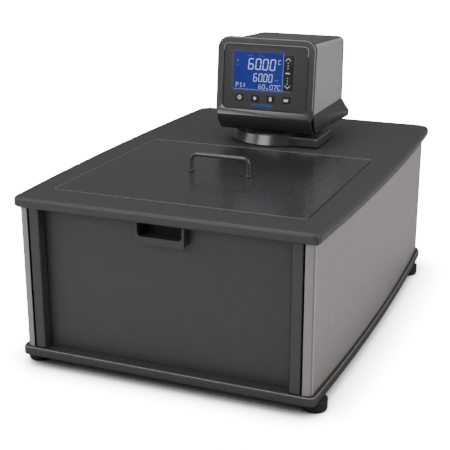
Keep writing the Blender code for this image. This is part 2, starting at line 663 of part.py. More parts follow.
# ---------------------------------------------------------------- head
def lean_and_slope(obj):
    """Bake the object, then lean its front and slope its top like the head."""
    obj.data.transform(obj.matrix_basis)
    obj.matrix_basis = Matrix.Identity(4)
    for vertex in obj.data.vertices:
        height = vertex.co.z - DECK_Z
        share = (SHELL_Y1 - vertex.co.y) / (SHELL_Y1 - SHELL_Y0)
        level = (height - SKIRT_Z) / (SHELL_TOP - SKIRT_Z)
        vertex.co.y += LEAN * (height - FACE_Z) * share
        vertex.co.z -= top_drop(vertex.co.y) * level
    return obj


def top_drop(y):
    return TOP_SLOPE * (y - face_y(SHELL_TOP))


def make_head_shell():
    """Arch of the head: two side walls stepped back for the side skins, and the rounded top."""
    low, top = DECK_Z + SKIRT_Z, DECK_Z + SHELL_TOP
    depth = SKIN_STEP + SHELL_T
    halves = {}
    for side, sign in SIDES.items():
        wrap = SHOULDERS[side][1]
        outer = [(sign * (HEAD_X - SKIN_STEP), low)] + shoulder(side, top, SKIN_STEP, 0, wrap)
        outer += shoulder(side, top, 0, wrap, 90)
        inner = [(sign * (HEAD_X - depth), low)] + shoulder(side, top, depth, 0, 90)
        halves[side] = outer, inner
    outline = halves["right"][0] + halves["left"][0][::-1] + halves["left"][1] + halves["right"][1][::-1]
    shell = prism("head_shell", [outline], SHELL_Y0, SHELL_Y1, "Y")
    return keep(lean_and_slope(shell), "charcoal")


def make_head_sides():
    """Metal skins on the head's sides, each bent over the shoulder."""
    made = []
    low, top = DECK_Z + SKIRT_Z, DECK_Z + SHELL_TOP
    inset = SKIN_STEP - GAP
    for side, sign in SIDES.items():
        wrap = SHOULDERS[side][1] - 2
        outline = [(sign * (HEAD_X - inset), low), (sign * HEAD_X, low)]
        outline += shoulder(side, top, 0, 0, wrap) + shoulder(side, top, inset, wrap, 0)
        skin = prism("head_side_" + side, [outline], SHELL_Y0, SHELL_Y1, "Y")
        made.append(keep(lean_and_slope(skin), "grey_metal"))
    return made


def make_bezel():
    """Face frame with rounded edges and an undercut chin, in one moulding."""
    chin = [(0.0590, SKIRT_Z), (0.0590, 0.0460), (0.0600, 0.0405), (0.0625, 0.0350), (0.0655, 0.0303),
            (0.0697, 0.0253), (0.0745, 0.0208)]
    inner_chin = [(0.0775, 0.0222), (0.0725, 0.0272), (0.0690, 0.0318), (0.0660, 0.0362), (0.0642, 0.0410),
                  (0.0640, 0.0460)]
    top = HEAD_TOP_FRONT
    profile = [(face_y(top) - 0.001, top)] + chin + inner_chin
    profile += [(face_y(SKIRT_Z) + BEZEL_T, SKIRT_Z), (face_y(top) + BEZEL_T, top)]
    bezel = prism("head_bezel", [[(y, DECK_Z + z) for y, z in profile]], -HEAD_X, HEAD_X, "X")
    low_v, high_v = (0.0190 - FACE_Z) / math.cos(LEAN_ANGLE), (top - FACE_Z) / math.cos(LEAN_ANGLE)
    side = [(CHIN_X - 0.0015, low_v), (CHIN_X, low_v + 0.0015), (CHIN_X, -0.0140),
            (CHIN_X + 0.0012, -0.0100), (HEAD_X, -0.0030)]
    side += arc(HEAD_X - BEZEL_R, high_v - BEZEL_R, BEZEL_R, 0, 90, 6)
    rounding = face_prism("bezel_rounding", [side + mirrored(side)[::-1]], -0.05, 0.0)
    combine(bezel, soften(rounding, 0.0035, 2, 60), "INTERSECT")
    cut(bezel, face_prism("bezel_window", [panel_outline(GAP)], -0.02, 0.02))
    return keep(bezel, "charcoal")


def panel_outline(grow):
    radius = PANEL_R + grow
    return rounded(-PANEL_X - grow, PANEL_V0 - grow, PANEL_X + grow, PANEL_V1 + grow, (radius,) * 4)


def key_centres():
    return [(KEY_FIRST_X + i * KEY_PITCH, KEY_V) for i in range(4)]


def make_control_panel():
    lcd = rounded(LCD_X0, LCD_V0, LCD_X1, LCD_V1, (0,) * 4)
    strip = rounded(STRIP_X0, STRIP_V0, STRIP_X1, STRIP_V1, (0.001,) * 4, 2)
    holes = [lcd, strip]
    for x, v in key_centres():
        w, h = KEY_W / 2 + KEY_CLEAR, KEY_H / 2 + KEY_CLEAR
        holes.append(rounded(x - w, v - h, x + w, v + h, (0.0022,) * 4, 2))
    front = -PANEL_SINK
    panel = face_prism("control_panel", [panel_outline(0)] + holes, front - PANEL_T, front)
    square = (0,) * 4
    back = front - PANEL_T
    window_outline = rounded(LCD_X0 + GAP, LCD_V0 + GAP, LCD_X1 - GAP, LCD_V1 - GAP, square)
    window = face_prism("lcd_window", [window_outline], front - 0.0012, front - 0.0001)
    module_outline = rounded(LCD_X0 - 0.004, LCD_V0 - 0.004, LCD_X1 - 0.003, LCD_V1 + 0.004, square)
    module = face_prism("lcd_module", [module_outline], back - 0.0080, back - GAP)
    board_outline = rounded(-0.060, 0.004, 0.060, 0.088, square)
    board = face_prism("control_board", [board_outline], back - 0.0096, back - 0.0083)
    return [keep(panel, "charcoal"), keep(window, "glass"), keep(module, "display"), keep(board, "board")]


def make_keys():
    front = -PANEL_SINK + KEY_PROUD
    keys = []
    for name, (x, v) in zip(("key_power", "key_pump", "key_timer", "key_menu"), key_centres()):
        outline = rounded(-KEY_W / 2, -KEY_H / 2, KEY_W / 2, KEY_H / 2, (0.0020,) * 4, 3)
        keys.append(face_prism(name, [outline], front - KEY_DEPTH, front, x, v))
    width = STRIP_X1 - STRIP_X0 - 2 * KEY_CLEAR
    centre = (STRIP_X0 + STRIP_X1) / 2
    v0, v1 = STRIP_V0 + KEY_CLEAR, STRIP_V1 - KEY_CLEAR
    middle, set_half = (v0 + v1) / 2, 0.0045
    spans = {"key_down": (v0, middle - set_half - KEY_CLEAR),
             "key_set": (middle - set_half, middle + set_half),
             "key_up": (middle + set_half + KEY_CLEAR, v1)}
    for name, (low, high) in spans.items():
        half = (high - low) / 2
        outline = rounded(-width / 2, -half, width / 2, half, (0.0008,) * 4, 2)
        keys.append(face_prism(name, [outline], front - KEY_DEPTH, front, centre, low + half))
    return [keep(key, "black") for key in keys]


def make_cowl():
    """Skirt under the head that flares towards the rear: a loft of three unlike rings."""
    back_y = HEAD_BACK_Y + REAR_COVER_T
    rings = [(SKIRT_Z - GAP, 0.0657, HEAD_X - 0.0005, HEAD_X, back_y),
             (COWL_BAND_Z, 0.0697, HEAD_X, COWL_BACK_X, COWL_BACK_Y),
             (COWL_Z, 0.0772, HEAD_X - 0.0005, COWL_BACK_X - 0.0008, COWL_BACK_Y - 0.0008)]
    bm = bmesh.new()
    loops = []
    for inset, order in ((0.0, rings), (SHELL_T, rings[::-1])):
        for z, front_y, front_x, back_x, rear_y in order:
            corners = ((-front_x + inset, front_y + inset), (front_x - inset, front_y + inset),
                       (back_x - inset, rear_y - inset), (-back_x + inset, rear_y - inset))
            loops.append([bm.verts.new((x, y, DECK_Z + z)) for x, y in corners])
    for low, high in zip(loops, loops[1:] + loops[:1]):
        for j in range(4):
            k = (j + 1) % 4
            bm.faces.new((low[j], low[k], high[k], high[j]))
    return keep(from_bmesh("head_cowl", bm), "charcoal")


def make_head_floor():
    """Floor plate of the head and the bearing ring under it."""
    inset = SHELL_T + 0.0010
    back_x, back_y = COWL_BACK_X - inset, COWL_BACK_Y - inset
    front_y = 0.0870
    outline = [(-HEAD_X + 0.0015 + inset, front_y), (HEAD_X - 0.0015 - inset, front_y),
               (back_x - 0.0015, back_y - 0.0015), (-back_x + 0.0015, back_y - 0.0015)]
    hole = arc(0, AXIS_Y, NECK_R + 0.0010, 0, 352.5, 47)
    floor = prism("head_floor", [outline, hole], DECK_Z + 0.0245, DECK_Z + 0.0270)
    low, high = DECK_Z + BASE_H + GAP, DECK_Z + 0.0242
    section = [(0.0412, high), (0.0462, high), (0.0462, low), (0.0412, low)]
    ring = turned("swivel_ring", section, (0, AXIS_Y, 0), 40)
    return [keep(floor, "steel"), keep(ring, "white")]


def make_rear_cover():
    """Plate that closes the rear of the head, with cut-outs for the sockets."""
    low, top = DECK_Z + SKIRT_Z, DECK_Z + SHELL_TOP - top_drop(HEAD_BACK_Y)
    outline = [(HEAD_X, low)] + shoulder("right", top, 0, 0, 90) + shoulder("left", top, 0, 90, 0)
    outline += [(-HEAD_X, low)]
    holes = [rounded(x - w, z - h, x + w, z + h, (0,) * 4) for x, z, w, h in
             ((INLET_X, INLET_Z, 0.0140, 0.0105), (BREAKER_X, BREAKER_Z, 0.0098, 0.0138),
              (DATA_X, DATA_Z, 0.0123, 0.0063))]
    cover = prism("head_rear_cover", [outline] + holes, HEAD_BACK_Y, HEAD_BACK_Y + REAR_COVER_T, "Y")
    return keep(cover, "charcoal")


def make_head_sockets():
    back = HEAD_BACK_Y + REAR_COVER_T
    inlet = box("power_inlet", (INLET_X - 0.0137, back - 0.022, INLET_Z - 0.0102),
                (INLET_X + 0.0137, back + 0.0008, INLET_Z + 0.0102))
    mouth = box("inlet_mouth", (INLET_X - 0.0120, back - 0.0165, INLET_Z - 0.0085),
                (INLET_X + 0.0120, back + 0.01, INLET_Z + 0.0085))
    cut(inlet, mouth)
    for dx, dz in ((-0.007, 0.002), (0.007, 0.002), (0.0, -0.002)):
        pin = box("inlet_pin", (INLET_X + dx - 0.001, back - 0.018, INLET_Z + dz - 0.002),
                  (INLET_X + dx + 0.001, back - 0.0065, INLET_Z + dz + 0.002))
        join(inlet, pin)
    housing = box("breaker_housing", (BREAKER_X - 0.0095, back - 0.018, BREAKER_Z - 0.0135),
                  (BREAKER_X + 0.0095, back + 0.0008, BREAKER_Z + 0.0135))
    cut(housing, box("breaker_mouth", (BREAKER_X - 0.0062, back - 0.0120, BREAKER_Z - 0.0105),
                     (BREAKER_X + 0.0062, back + 0.01, BREAKER_Z + 0.0105)))
    port = box("data_port", (DATA_X - 0.0120, back - 0.012, DATA_Z - 0.0060),
               (DATA_X + 0.0120, back + 0.0020, DATA_Z + 0.0060))
    cut(port, box("data_mouth", (DATA_X - 0.0085, back - 0.004, DATA_Z - 0.0035),
                  (DATA_X + 0.0085, back + 0.01, DATA_Z + 0.0035)))
    return [keep(inlet, "black"), keep(housing, "black"), keep(port, "steel")]


def make_rocker():
    """Breaker rocker with a shallow V front, tipped about its pivot to the off side."""
    depth, half, tip = 0.0045, 0.0088, 0.0032
    profile = [(-depth, -half * 0.55), (tip, -half), (tip - 0.0012, 0), (tip, half), (-depth, half * 0.55)]
    c, s = math.cos(ROCKER_TILT), math.sin(ROCKER_TILT)
    tipped = [(y * c - z * s, y * s + z * c) for y, z in profile]
    rocker = prism("breaker_rocker", [tipped], -0.0058, 0.0058, "X")
    rocker.location = (BREAKER_X, ROCKER_Y, BREAKER_Z)
    return keep(rocker, "rubber")


def make_power_board():
    board = box("power_board", (0.0520, 0.1100, DECK_Z + 0.036), (0.0536, 0.1850, DECK_Z + 0.118))
    blocks = [box("board_block", (0.0390, y, z), (0.0522, y + 0.022, z + 0.018))
              for y, z in ((0.160, DECK_Z + 0.040), (0.160, DECK_Z + 0.078))]
    return keep(join(board, *blocks), "board")


def make_head():
    parts = [make_head_shell(), make_bezel(), make_cowl(), make_rear_cover(), make_power_board()]
    parts += make_head_sides() + make_control_panel() + make_keys() + make_head_floor()
    parts += make_head_sockets() + [make_rocker()]
    ride_on("head_axis", (0, AXIS_Y, DECK_Z), parts)


def main():
    lower = make_base_tray() + make_feet() + make_side_panels() + make_front_and_rear()
    lower += make_rear_fittings() + [make_grip("front_grip", -1), make_grip("rear_grip", 1)]
    ride_on("lower_body", (0, 0, 0), lower, LOWER_X)
    make_top_cover()
    make_tank()
    make_insulation()
    make_lid()
    make_swivel_base()
    make_bridge()
    make_pump()
    make_rotor()
    make_heater_coil()
    make_sensors()
    make_head()


for old in list(bpy.data.objects):
    bpy.data.objects.remove(old, do_unlink=True)
PARTS = new_collection("water_bath")
CUTTERS = new_collection("cutters")
main()
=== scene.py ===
"""Looks for the water bath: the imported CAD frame, finer surfaces round it, materials, light and camera."""
import json
import math

import bmesh
import bpy
from mathutils import Matrix, Vector


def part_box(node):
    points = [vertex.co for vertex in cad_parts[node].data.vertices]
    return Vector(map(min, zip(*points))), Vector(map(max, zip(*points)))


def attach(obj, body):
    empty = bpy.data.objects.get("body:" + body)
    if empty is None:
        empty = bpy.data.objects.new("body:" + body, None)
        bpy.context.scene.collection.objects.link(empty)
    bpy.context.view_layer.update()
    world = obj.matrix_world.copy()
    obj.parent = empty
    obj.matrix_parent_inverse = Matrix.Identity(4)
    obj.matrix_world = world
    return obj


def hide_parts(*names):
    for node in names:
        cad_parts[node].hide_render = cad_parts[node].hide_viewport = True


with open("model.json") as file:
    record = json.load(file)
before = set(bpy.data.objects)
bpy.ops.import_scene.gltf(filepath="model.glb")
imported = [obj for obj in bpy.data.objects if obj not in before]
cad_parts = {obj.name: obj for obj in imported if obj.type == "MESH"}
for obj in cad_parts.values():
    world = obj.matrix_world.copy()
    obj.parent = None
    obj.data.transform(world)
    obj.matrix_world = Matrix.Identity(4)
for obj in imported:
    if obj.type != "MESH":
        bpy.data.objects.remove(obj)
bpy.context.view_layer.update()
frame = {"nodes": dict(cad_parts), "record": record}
NODES = frame["nodes"]
BODY_OF = {node: body for body, nodes in frame["record"]["behaviour"]["bodies"].items() for node in nodes}
SLOT_OF = {row["node"]: row["material_slot"] for row in frame["record"]["subparts"]}

# Dimensions shared with the CAD source, in metres. V runs up the head's face and is measured from FACE_Z.
DECK_Z = 0.233
HANDLE_X, HANDLE_Y, HANDLE_H, ROD_R, HANDLE_BEND = 0.0415, -0.1070, 0.0245, 0.0030, 0.009
FACE_Y, FACE_Z, LEAN = 0.0600, 0.055, 0.0998
LEAN_ANGLE = math.atan(LEAN)
PANEL_SINK = 0.0012
LID_X, LID_Y0, LID_Y1, LID_R = 0.1699, -0.2532, 0.0447, 0.007
COVER_LIP_Z, TRAY_Z1 = 0.2185, 0.0274
LOWER_X, FRONT_PANEL_Y, POST_X0, POST_Y0 = -0.0018, -0.2777, 0.1665, -0.2925
TRAY_HALF_X, TRAY_HALF_Y, TRAY_BOW, TRAY_R = 0.200, 0.297, 0.0085, 0.009
SIDE_CORNER = (0.18744, -0.2855, 0.0070)  # the right-hand front corner in plan: centre and radius
COVER_CORNER = (0.1915, -0.2925, 0.0090)
GRIP_BACK_Y, GRIP_HALF, GRIP_Z0, GRIP_Z1 = 0.2690, 0.0290, 0.2000, 0.2252
HEAD_X, HEAD_RISE, BEZEL_R = 0.076, 0.1045, 0.018
PANEL_X, PANEL_V1, PANEL_R = 0.0642, 0.0938, 0.0070
LCD_X0, LCD_X1, LCD_V0, LCD_V1 = -0.0485, 0.0268, 0.0290, 0.0824
STRIP_X0, STRIP_X1 = 0.0283, 0.0425
KEY_FIRST_X, KEY_PITCH, KEY_V, KEY_PROUD = -0.0386, 0.0243, 0.0162, 0.0006

# Sizes of what is added to the CAD's shapes
CAD_BEVEL_ANGLE, CAD_SMOOTH_ANGLE, TURNED_SMOOTH_ANGLE = 42, 32, 30
REAR_LAP, REAR_PROUD = 0.0024, 0.0004
CHIN_BANDS = ((0.0460, 0.0020), (0.0405, 0.0017), (0.0350, 0.0008))  # height over the deck, step forward
# Strips of painted highlight and painted shade, and the cover's seams: depth on the rounded corners, and
# widths round the lid, on the head's face and by the display
FOLD_PROUD, FOLD_SUNK = 0.00010, 0.0003
RIM_WIDTH, FACE_LINE_WIDTH, FACE_LINE_SUNK = 0.0009, 0.0010, -0.0003
DISPLAY_LINE = 0.0007
# reach of the display's painted glow on the face panel
HALO_REACH = 0.0085
SCREW_R, CROSS_ARM, CROSS_HALF = 0.0030, 0.0018, 0.0003

# Light and camera
FLOOR_ALBEDO, FLOOR_GAIN, FLOOR_GLOW = 0.8, 12.0, 12.0
# Reach and power of the floor's painted contact shadow, which darkens it where it is closed in
CLOSED_REACH, CLOSED_POWER = 0.075, 3.0
WORLD_WHITE, WORLD_LOW, WORLD_HIGH, WORLD_BEHIND = 24.0, 0.10, 0.52, 0.22
LIGHTS = (  # name, place, target, size, watts
    ("top_light", (-0.2, -0.6, 2.4), (0, 0, 0.2), (1.8, 1.4), 25),
    ("front_light", (-0.9, -2.2, 1.30), (0, 0, 0.28), (1.2, 0.8), 20),
    ("side_light", (2.2, -0.4, 1.2), (0, 0, 0.2), (1.4, 1.4), 22),
    ("rear_light", (1.5, 2.0, 1.5), (0, 0.1, 0.2), (1.2, 1.2), 6),
    ("left_light", (-2.0, -1.1, 0.8), (0, -0.2, 0.15), (1.0, 1.0), 9),
)
CAMERA_PLACE, CAMERA_DOWN, CAMERA_TURN = (0.5092, -1.3333, 0.5946), 18.074, 22.243
LENS_MM, SENSOR_MM = 82.11, 36.0


# ---------------------------------------------------------------- materials
def feed(links, socket, value):
    """Give the input a number, or join it to another node's output."""
    if isinstance(value, (int, float)):
        socket.default_value = value
    else:
        links.new(value, socket)


def worked_out(nodes, links, operation, *values):
    """A math node's result on numbers and sockets."""
    step = nodes.new("ShaderNodeMath")
    step.operation = operation
    for socket, value in zip(step.inputs, values):
        feed(links, socket, value)
    return step.outputs["Value"]


def ranged(nodes, links, value, start, end, low, high, shape="LINEAR"):
    """The value's run from start to end, mapped to low to high and held there beyond it."""
    change = nodes.new("ShaderNodeMapRange")
    change.interpolation_type = shape
    given = {"Value": value, "From Min": start, "From Max": end, "To Min": low, "To Max": high}
    for name, number in given.items():
        feed(links, change.inputs[name], number)
    return change.outputs["Result"]


def camera_ray(nodes):
    """1 for a ray straight from the camera, and 0 for every other."""
    return nodes.new("ShaderNodeLightPath").outputs["Is Camera Ray"]


class Tree:
    """A Principled material and short ways to add nodes to it."""

    def __init__(self, name, color, roughness, metallic=0.0, coat=0.0):
        self.material = bpy.data.materials.new(name)
        self.material.use_nodes = True
        self.nodes = self.material.node_tree.nodes
        self.links = self.material.node_tree.links
        self.shader = self.nodes["Principled BSDF"]
        self.color = (*color, 1.0)
        self.roughness = roughness
        self.shader.inputs["Base Color"].default_value = self.color
        self.shader.inputs["Roughness"].default_value = roughness
        self.shader.inputs["Metallic"].default_value = metallic
        self.shader.inputs["Coat Weight"].default_value = coat
        self.shader.inputs["Coat Roughness"].default_value = 0.25
        self.place = self.nodes.new("ShaderNodeTexCoord").outputs["Object"]

    def noise(self, scale, detail=3.0, stretch=None):
        """Noise with the given number of waves in a metre."""
        source = self.place
        if stretch:
            mapping = self.nodes.new("ShaderNodeMapping")
            mapping.inputs["Scale"].default_value = stretch
            self.links.new(source, mapping.inputs["Vector"])
            source = mapping.outputs["Vector"]
        noise = self.nodes.new("ShaderNodeTexNoise")
        noise.inputs["Scale"].default_value = scale
        noise.inputs["Detail"].default_value = detail
        self.links.new(source, noise.inputs["Vector"])
        return noise.outputs["Fac"]

    def spread(self, value, low, high):
        """The noise, which lies mostly between 0.3 and 0.7, mapped to low to high."""
        return ranged(self.nodes, self.links, value, 0.3, 0.7, low, high)

    def tint(self, value, low, high):
        """Scale the base colour by the noise."""
        scale = self.nodes.new("ShaderNodeVectorMath")
        scale.operation = "SCALE"
        scale.inputs[0].default_value = self.color[:3]
        self.links.new(self.spread(value, low, high), scale.inputs["Scale"])
        self.links.new(scale.outputs["Vector"], self.shader.inputs["Base Color"])
        return self

    def rough(self, value, amount):
        """Vary the roughness with the noise, by the amount each way."""
        uneven = self.spread(value, self.roughness - amount, self.roughness + amount)
        self.links.new(uneven, self.shader.inputs["Roughness"])
        return self

    def glow(self, color, strength):
        """Light for the camera alone; strength is a number or a socket."""
        seen = worked_out(self.nodes, self.links, "MULTIPLY", camera_ray(self.nodes), strength)
        self.shader.inputs["Emission Color"].default_value = (*color, 1.0)
        self.links.new(seen, self.shader.inputs["Emission Strength"])
        return self

    def bump(self, value, height):
        """Raise the surface by the noise, up to the height in metres."""
        bump = self.nodes.new("ShaderNodeBump")
        bump.inputs["Strength"].default_value = 1.0
        bump.inputs["Distance"].default_value = height
        self.links.new(value, bump.inputs["Height"])
        self.links.new(bump.outputs["Normal"], self.shader.inputs["Normal"])
        return self


def moulded(name, color, roughness, grain=1400, height=0.00004, coat=0.0):
    """Moulded plastic or powder coat: fine grain, faint mottle, uneven polish."""
    tree = Tree(name, color, roughness, coat=coat)
    tree.tint(tree.noise(210, 4), 0.96, 1.04)
    tree.rough(tree.noise(160, 4), 0.03)
    return tree.bump(tree.noise(grain, 2), height).material


def satin_metal(name, color, roughness, metallic):
    """Metallic paint on sheet: very fine grain and a slow mottle."""
    tree = Tree(name, color, roughness, metallic)
    tree.tint(tree.noise(520, 5), 0.95, 1.05)
    tree.rough(tree.noise(60, 4), 0.04)
    return tree.bump(tree.noise(1900, 2), 0.00003).material


def brushed(name, color, roughness, stretch):
    """Brushed steel: grain drawn out along one axis."""
    tree = Tree(name, color, roughness, 1.0)
    grain = tree.noise(900, 3, stretch)
    tree.rough(grain, 0.08)
    tree.tint(tree.noise(25, 3), 0.94, 1.06)
    return tree.bump(grain, 0.000012).material


def machined(name, color, roughness):
    """Bare turned or plated metal."""
    tree = Tree(name, color, roughness, 1.0)
    tree.rough(tree.noise(300, 4), 0.05)
    return tree.tint(tree.noise(90, 3), 0.92, 1.08).material


def lit(name, color, strength):
    """A lit mark with a little uneven glow; its own colour is dim, so that it lights nothing round it. The
    display's marks glow for real; on the key icons, the badge and the display's edge line the glow is painted
    light.
    """
    tree = Tree(name, tuple(0.3 * part for part in color), 0.3)
    tree.tint(tree.noise(60, 2), 0.94, 1.06)
    return tree.glow(color, strength + 0.15).material


def lcd_blue():
    """Backlit display ground, a little uneven, under gloss."""
    tree = Tree("display_ground_look", (0.004, 0.007, 0.035), 0.12, coat=0.5)
    tree.shader.inputs["Coat Roughness"].default_value = 0.05
    cloud = tree.noise(28, 2)
    tree.tint(cloud, 0.88, 1.12)
    return tree.glow((0.018, 0.028, 0.225), tree.spread(cloud, 0.9, 1.1)).material


def panel_black():
    """The head's face panel, with a painted glow: the display's blue light spilling a few millimetres onto it.
    """
    tree = Tree("control_panel_look", (0.032, 0.032, 0.033), 0.45)
    tree.tint(tree.noise(210, 4), 0.96, 1.04)
    split = tree.nodes.new("ShaderNodeSeparateXYZ")
    tree.links.new(tree.place, split.inputs["Vector"])
    outside = []
    for axis, low, high in (("X", LCD_X0, LCD_X1), ("Z", DECK_Z + FACE_Z + LCD_V0, DECK_Z + FACE_Z + LCD_V1)):
        value = split.outputs[axis]
        for operation, other in (("SUBTRACT", (low + high) / 2), ("ABSOLUTE", 0.0),
                                 ("SUBTRACT", (high - low) / 2), ("MAXIMUM", 0.0)):
            value = worked_out(tree.nodes, tree.links, operation, value, other)
        outside.append(value)
    away = worked_out(tree.nodes, tree.links, "ADD", *outside)
    # painted glow: the display's light on the panel, fading out over HALO_REACH from the display's edge
    tree.glow((0.002, 0.008, 0.070),
              ranged(tree.nodes, tree.links, away, 0.0, HALO_REACH, 1.0, 0.0, "SMOOTHERSTEP"))
    return tree.bump(tree.noise(1400, 2), 0.00002).material


# Looks of the material slots
LOOKS = {
    "charcoal_moulding": moulded("charcoal_moulding_look", (0.044, 0.043, 0.047), 0.46, 1400, 0.000012),
    "head_moulding": moulded("head_moulding_look", (0.030, 0.030, 0.031), 0.36, 1400, 0.00001, 0.75),
    "lid_metal": moulded("lid_metal_look", (0.030, 0.030, 0.031), 0.25, 700, 0.0000004, 0.3),
    "front_metal": moulded("front_metal_look", (0.046, 0.045, 0.048), 0.45, 1800, 0.00003),
    "side_metal": satin_metal("side_metal_look", (0.305, 0.281, 0.270), 0.40, 0.35),
    "head_side_metal": satin_metal("head_side_metal_look", (0.42, 0.398, 0.400), 0.45, 0.3),
    "rubber_foot": moulded("rubber_foot_look", (0.022, 0.022, 0.022), 0.75, 900, 0.00008),
    "stainless": brushed("stainless_look", (0.62, 0.62, 0.61), 0.30, (1.0, 0.03, 1.0)),
    "heater_steel": machined("heater_steel_look", (0.60, 0.59, 0.57), 0.22),
    "brass_fitting": machined("brass_fitting_look", (0.62, 0.45, 0.20), 0.28),
    "foam_jacket": moulded("foam_jacket_look", (0.70, 0.66, 0.50), 0.90, 600, 0.0003),
    "handle_metal": moulded("handle_metal_look", (0.050, 0.050, 0.053), 0.26, 700, 0.0000004, 0.6),
    "base_casting": moulded("base_casting_look", (0.030, 0.030, 0.032), 0.22, 900, 0.000004, 0.6),
    "black_moulding": moulded("black_moulding_look", (0.012, 0.012, 0.013), 0.42),
    "key_black": moulded("key_black_look", (0.006, 0.006, 0.007), 0.35, 1200, 0.00001),
    "rocker_black": moulded("rocker_black_look", (0.014, 0.014, 0.015), 0.25, 1200, 0.00001, 0.4),
    "display_window": lcd_blue(),
    "display_module": moulded("display_module_look", (0.02, 0.06, 0.30), 0.30),
    "circuit_board": moulded("circuit_board_look", (0.02, 0.16, 0.06), 0.40, 500, 0.00005, 0.4),
    "white_moulding": moulded("white_moulding_look", (0.78, 0.78, 0.75), 0.40),
}

# Looks of single pieces, which differ from their slot's; several are painted highlight, painted shade or
# painted glow
GLYPH = lit("display_glyph_look", (0.54, 0.55, 0.95), 0.72)
GLYPH_THIN = lit("display_dots_look", (0.50, 0.52, 0.95), 0.72)
FAINT = lit("display_mark_look", (0.10, 0.14, 0.55), 0.45)
# painted highlight with a glow: the pale line along the display's lower and right edges
DISPLAY_EDGE_HIGHLIGHT = lit("display_edge_highlight_look", (0.20, 0.27, 0.45), 0.6)
# white printed key icons, given a painted glow
ICON_PRINT_AND_GLOW = lit("key_icon_print_and_glow_look", (0.80, 0.80, 0.80), 0.34)
# blue printed bar, given a painted glow
BADGE_PRINT_AND_GLOW = lit("badge_print_and_glow_look", (0.04, 0.09, 0.28), 0.22)
PANEL = panel_black()
# painted highlight: pale lines on the lid's rim and under the display's strip
PALE_HIGHLIGHT = moulded("pale_highlight_look", (0.20, 0.20, 0.205), 0.30, 1800, 0.00001)
# painted highlight: bright lines on the tray's top edge and round the head's bezel and recess
BRIGHT_HIGHLIGHT = moulded("bright_highlight_look", (0.29, 0.29, 0.29), 0.30, 1800, 0.00001)
# a darker copy of the head moulding: painted shade on the cowl
COWL_SHADED = moulded("cowl_painted_shade_look", (0.024, 0.024, 0.025), 0.42, 1400, 0.00001, 0.3)
TRAY = moulded("tray_look", (0.038, 0.038, 0.040), 0.46, 1400, 0.000012)
# painted shade and painted highlight on the rounded front corners of the side panels
SIDE_PAINTED_SHADE = satin_metal("side_painted_shade_look", (0.21, 0.20, 0.195), 0.42, 0.3)
SIDE_PAINTED_HIGHLIGHT = satin_metal("side_crease_look", (0.60, 0.59, 0.58), 0.35, 0.3)
# black strips: the real seams of the cover's front corners, and painted shadow in the gaps by the lid, the
# posts, the grips and the recess
SEAM_AND_SHADOW_LINE = moulded("seam_and_painted_shadow_look", (0.006, 0.006, 0.006), 0.55)
REAR_BLACK = moulded("rear_cover_look", (0.014, 0.014, 0.015), 0.40)
SCREW = machined("screw_look", (0.34, 0.34, 0.34), 0.30)


# ---------------------------------------------------------------- shapes
def put(obj, look, body, slot, *replaced):
    """Give the piece its look and body, and let it stand for CAD nodes."""
    obj.data.materials.clear()
    obj.data.materials.append(look)
    if replaced:
        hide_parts(*replaced)
    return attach(obj, body)


def shaded(obj, angle=38):
    """Smooth shading, with the edges over the angle left sharp."""
    obj.data.shade_smooth()
    obj.data.set_sharp_from_angle(angle=math.radians(angle))
    return obj


def settle(obj, angle=38, weigh=True):
    """Shade the object and apply its modifiers and its place."""
    shaded(obj, angle)
    if weigh:
        weighted = obj.modifiers.new("weighted", "WEIGHTED_NORMAL")
        weighted.keep_sharp = True
        weighted.mode = "FACE_AREA_WITH_ANGLE"
        weighted.weight = 95
    bpy.context.view_layer.update()
    graph = bpy.context.evaluated_depsgraph_get()
    mesh = bpy.data.meshes.new_from_object(obj.evaluated_get(graph))
    mesh.transform(obj.matrix_world)
    name = obj.name
    bpy.data.objects.remove(obj, do_unlink=True)
    made = bpy.data.objects.new(name, mesh)
    mesh.name = name
    bpy.context.scene.collection.objects.link(made)
    return made


def bevel(obj, width, segments, angle=50):
    """Round the edges that are sharper than the angle."""
    modifier = obj.modifiers.new("bevel", "BEVEL")
    modifier.limit_method = "ANGLE"
    modifier.angle_limit = math.radians(angle)
    modifier.width = width
    modifier.segments = segments
    return obj


def from_bmesh(name, bm):
    """An object of the bmesh, which is freed."""
    bmesh.ops.recalc_face_normals(bm, faces=bm.faces)
    mesh = bpy.data.meshes.new(name)
    bm.to_mesh(mesh)
    bm.free()
    obj = bpy.data.objects.new(name, mesh)
    bpy.context.scene.collection.objects.link(obj)
    return obj


def curve_mesh(name, curve):
    """The curve's surface as a mesh, with its caps and flats in whole faces."""
    source = bpy.data.objects.new(name + "_curve", curve)
    bpy.context.scene.collection.objects.link(source)
    bpy.context.view_layer.update()
    raw = bpy.data.meshes.new_from_object(source.evaluated_get(bpy.context.evaluated_depsgraph_get()))
    bpy.data.objects.remove(source, do_unlink=True)
    bm = bmesh.new()
    bm.from_mesh(raw)
    bmesh.ops.remove_doubles(bm, verts=bm.verts, dist=0.000005)
    bmesh.ops.dissolve_limit(bm, angle_limit=math.radians(0.1), verts=bm.verts, edges=bm.edges)
    return from_bmesh(name, bm)


def prism(name, outlines, low, high):
    """Flat outlines, with any holes, extruded along Z."""
    curve = bpy.data.curves.new(name, "CURVE")
    curve.dimensions = "2D"
    curve.fill_mode = "BOTH"
    curve.extrude = (high - low) / 2
    for points in outlines:
        spline = curve.splines.new("POLY")
        spline.points.add(len(points) - 1)
        for point, (a, b) in zip(spline.points, points):
            point.co = (a, b, 0, 1)
        spline.use_cyclic_u = True
    obj = curve_mesh(name, curve)
    obj.location = (0, 0, (low + high) / 2)
    return obj


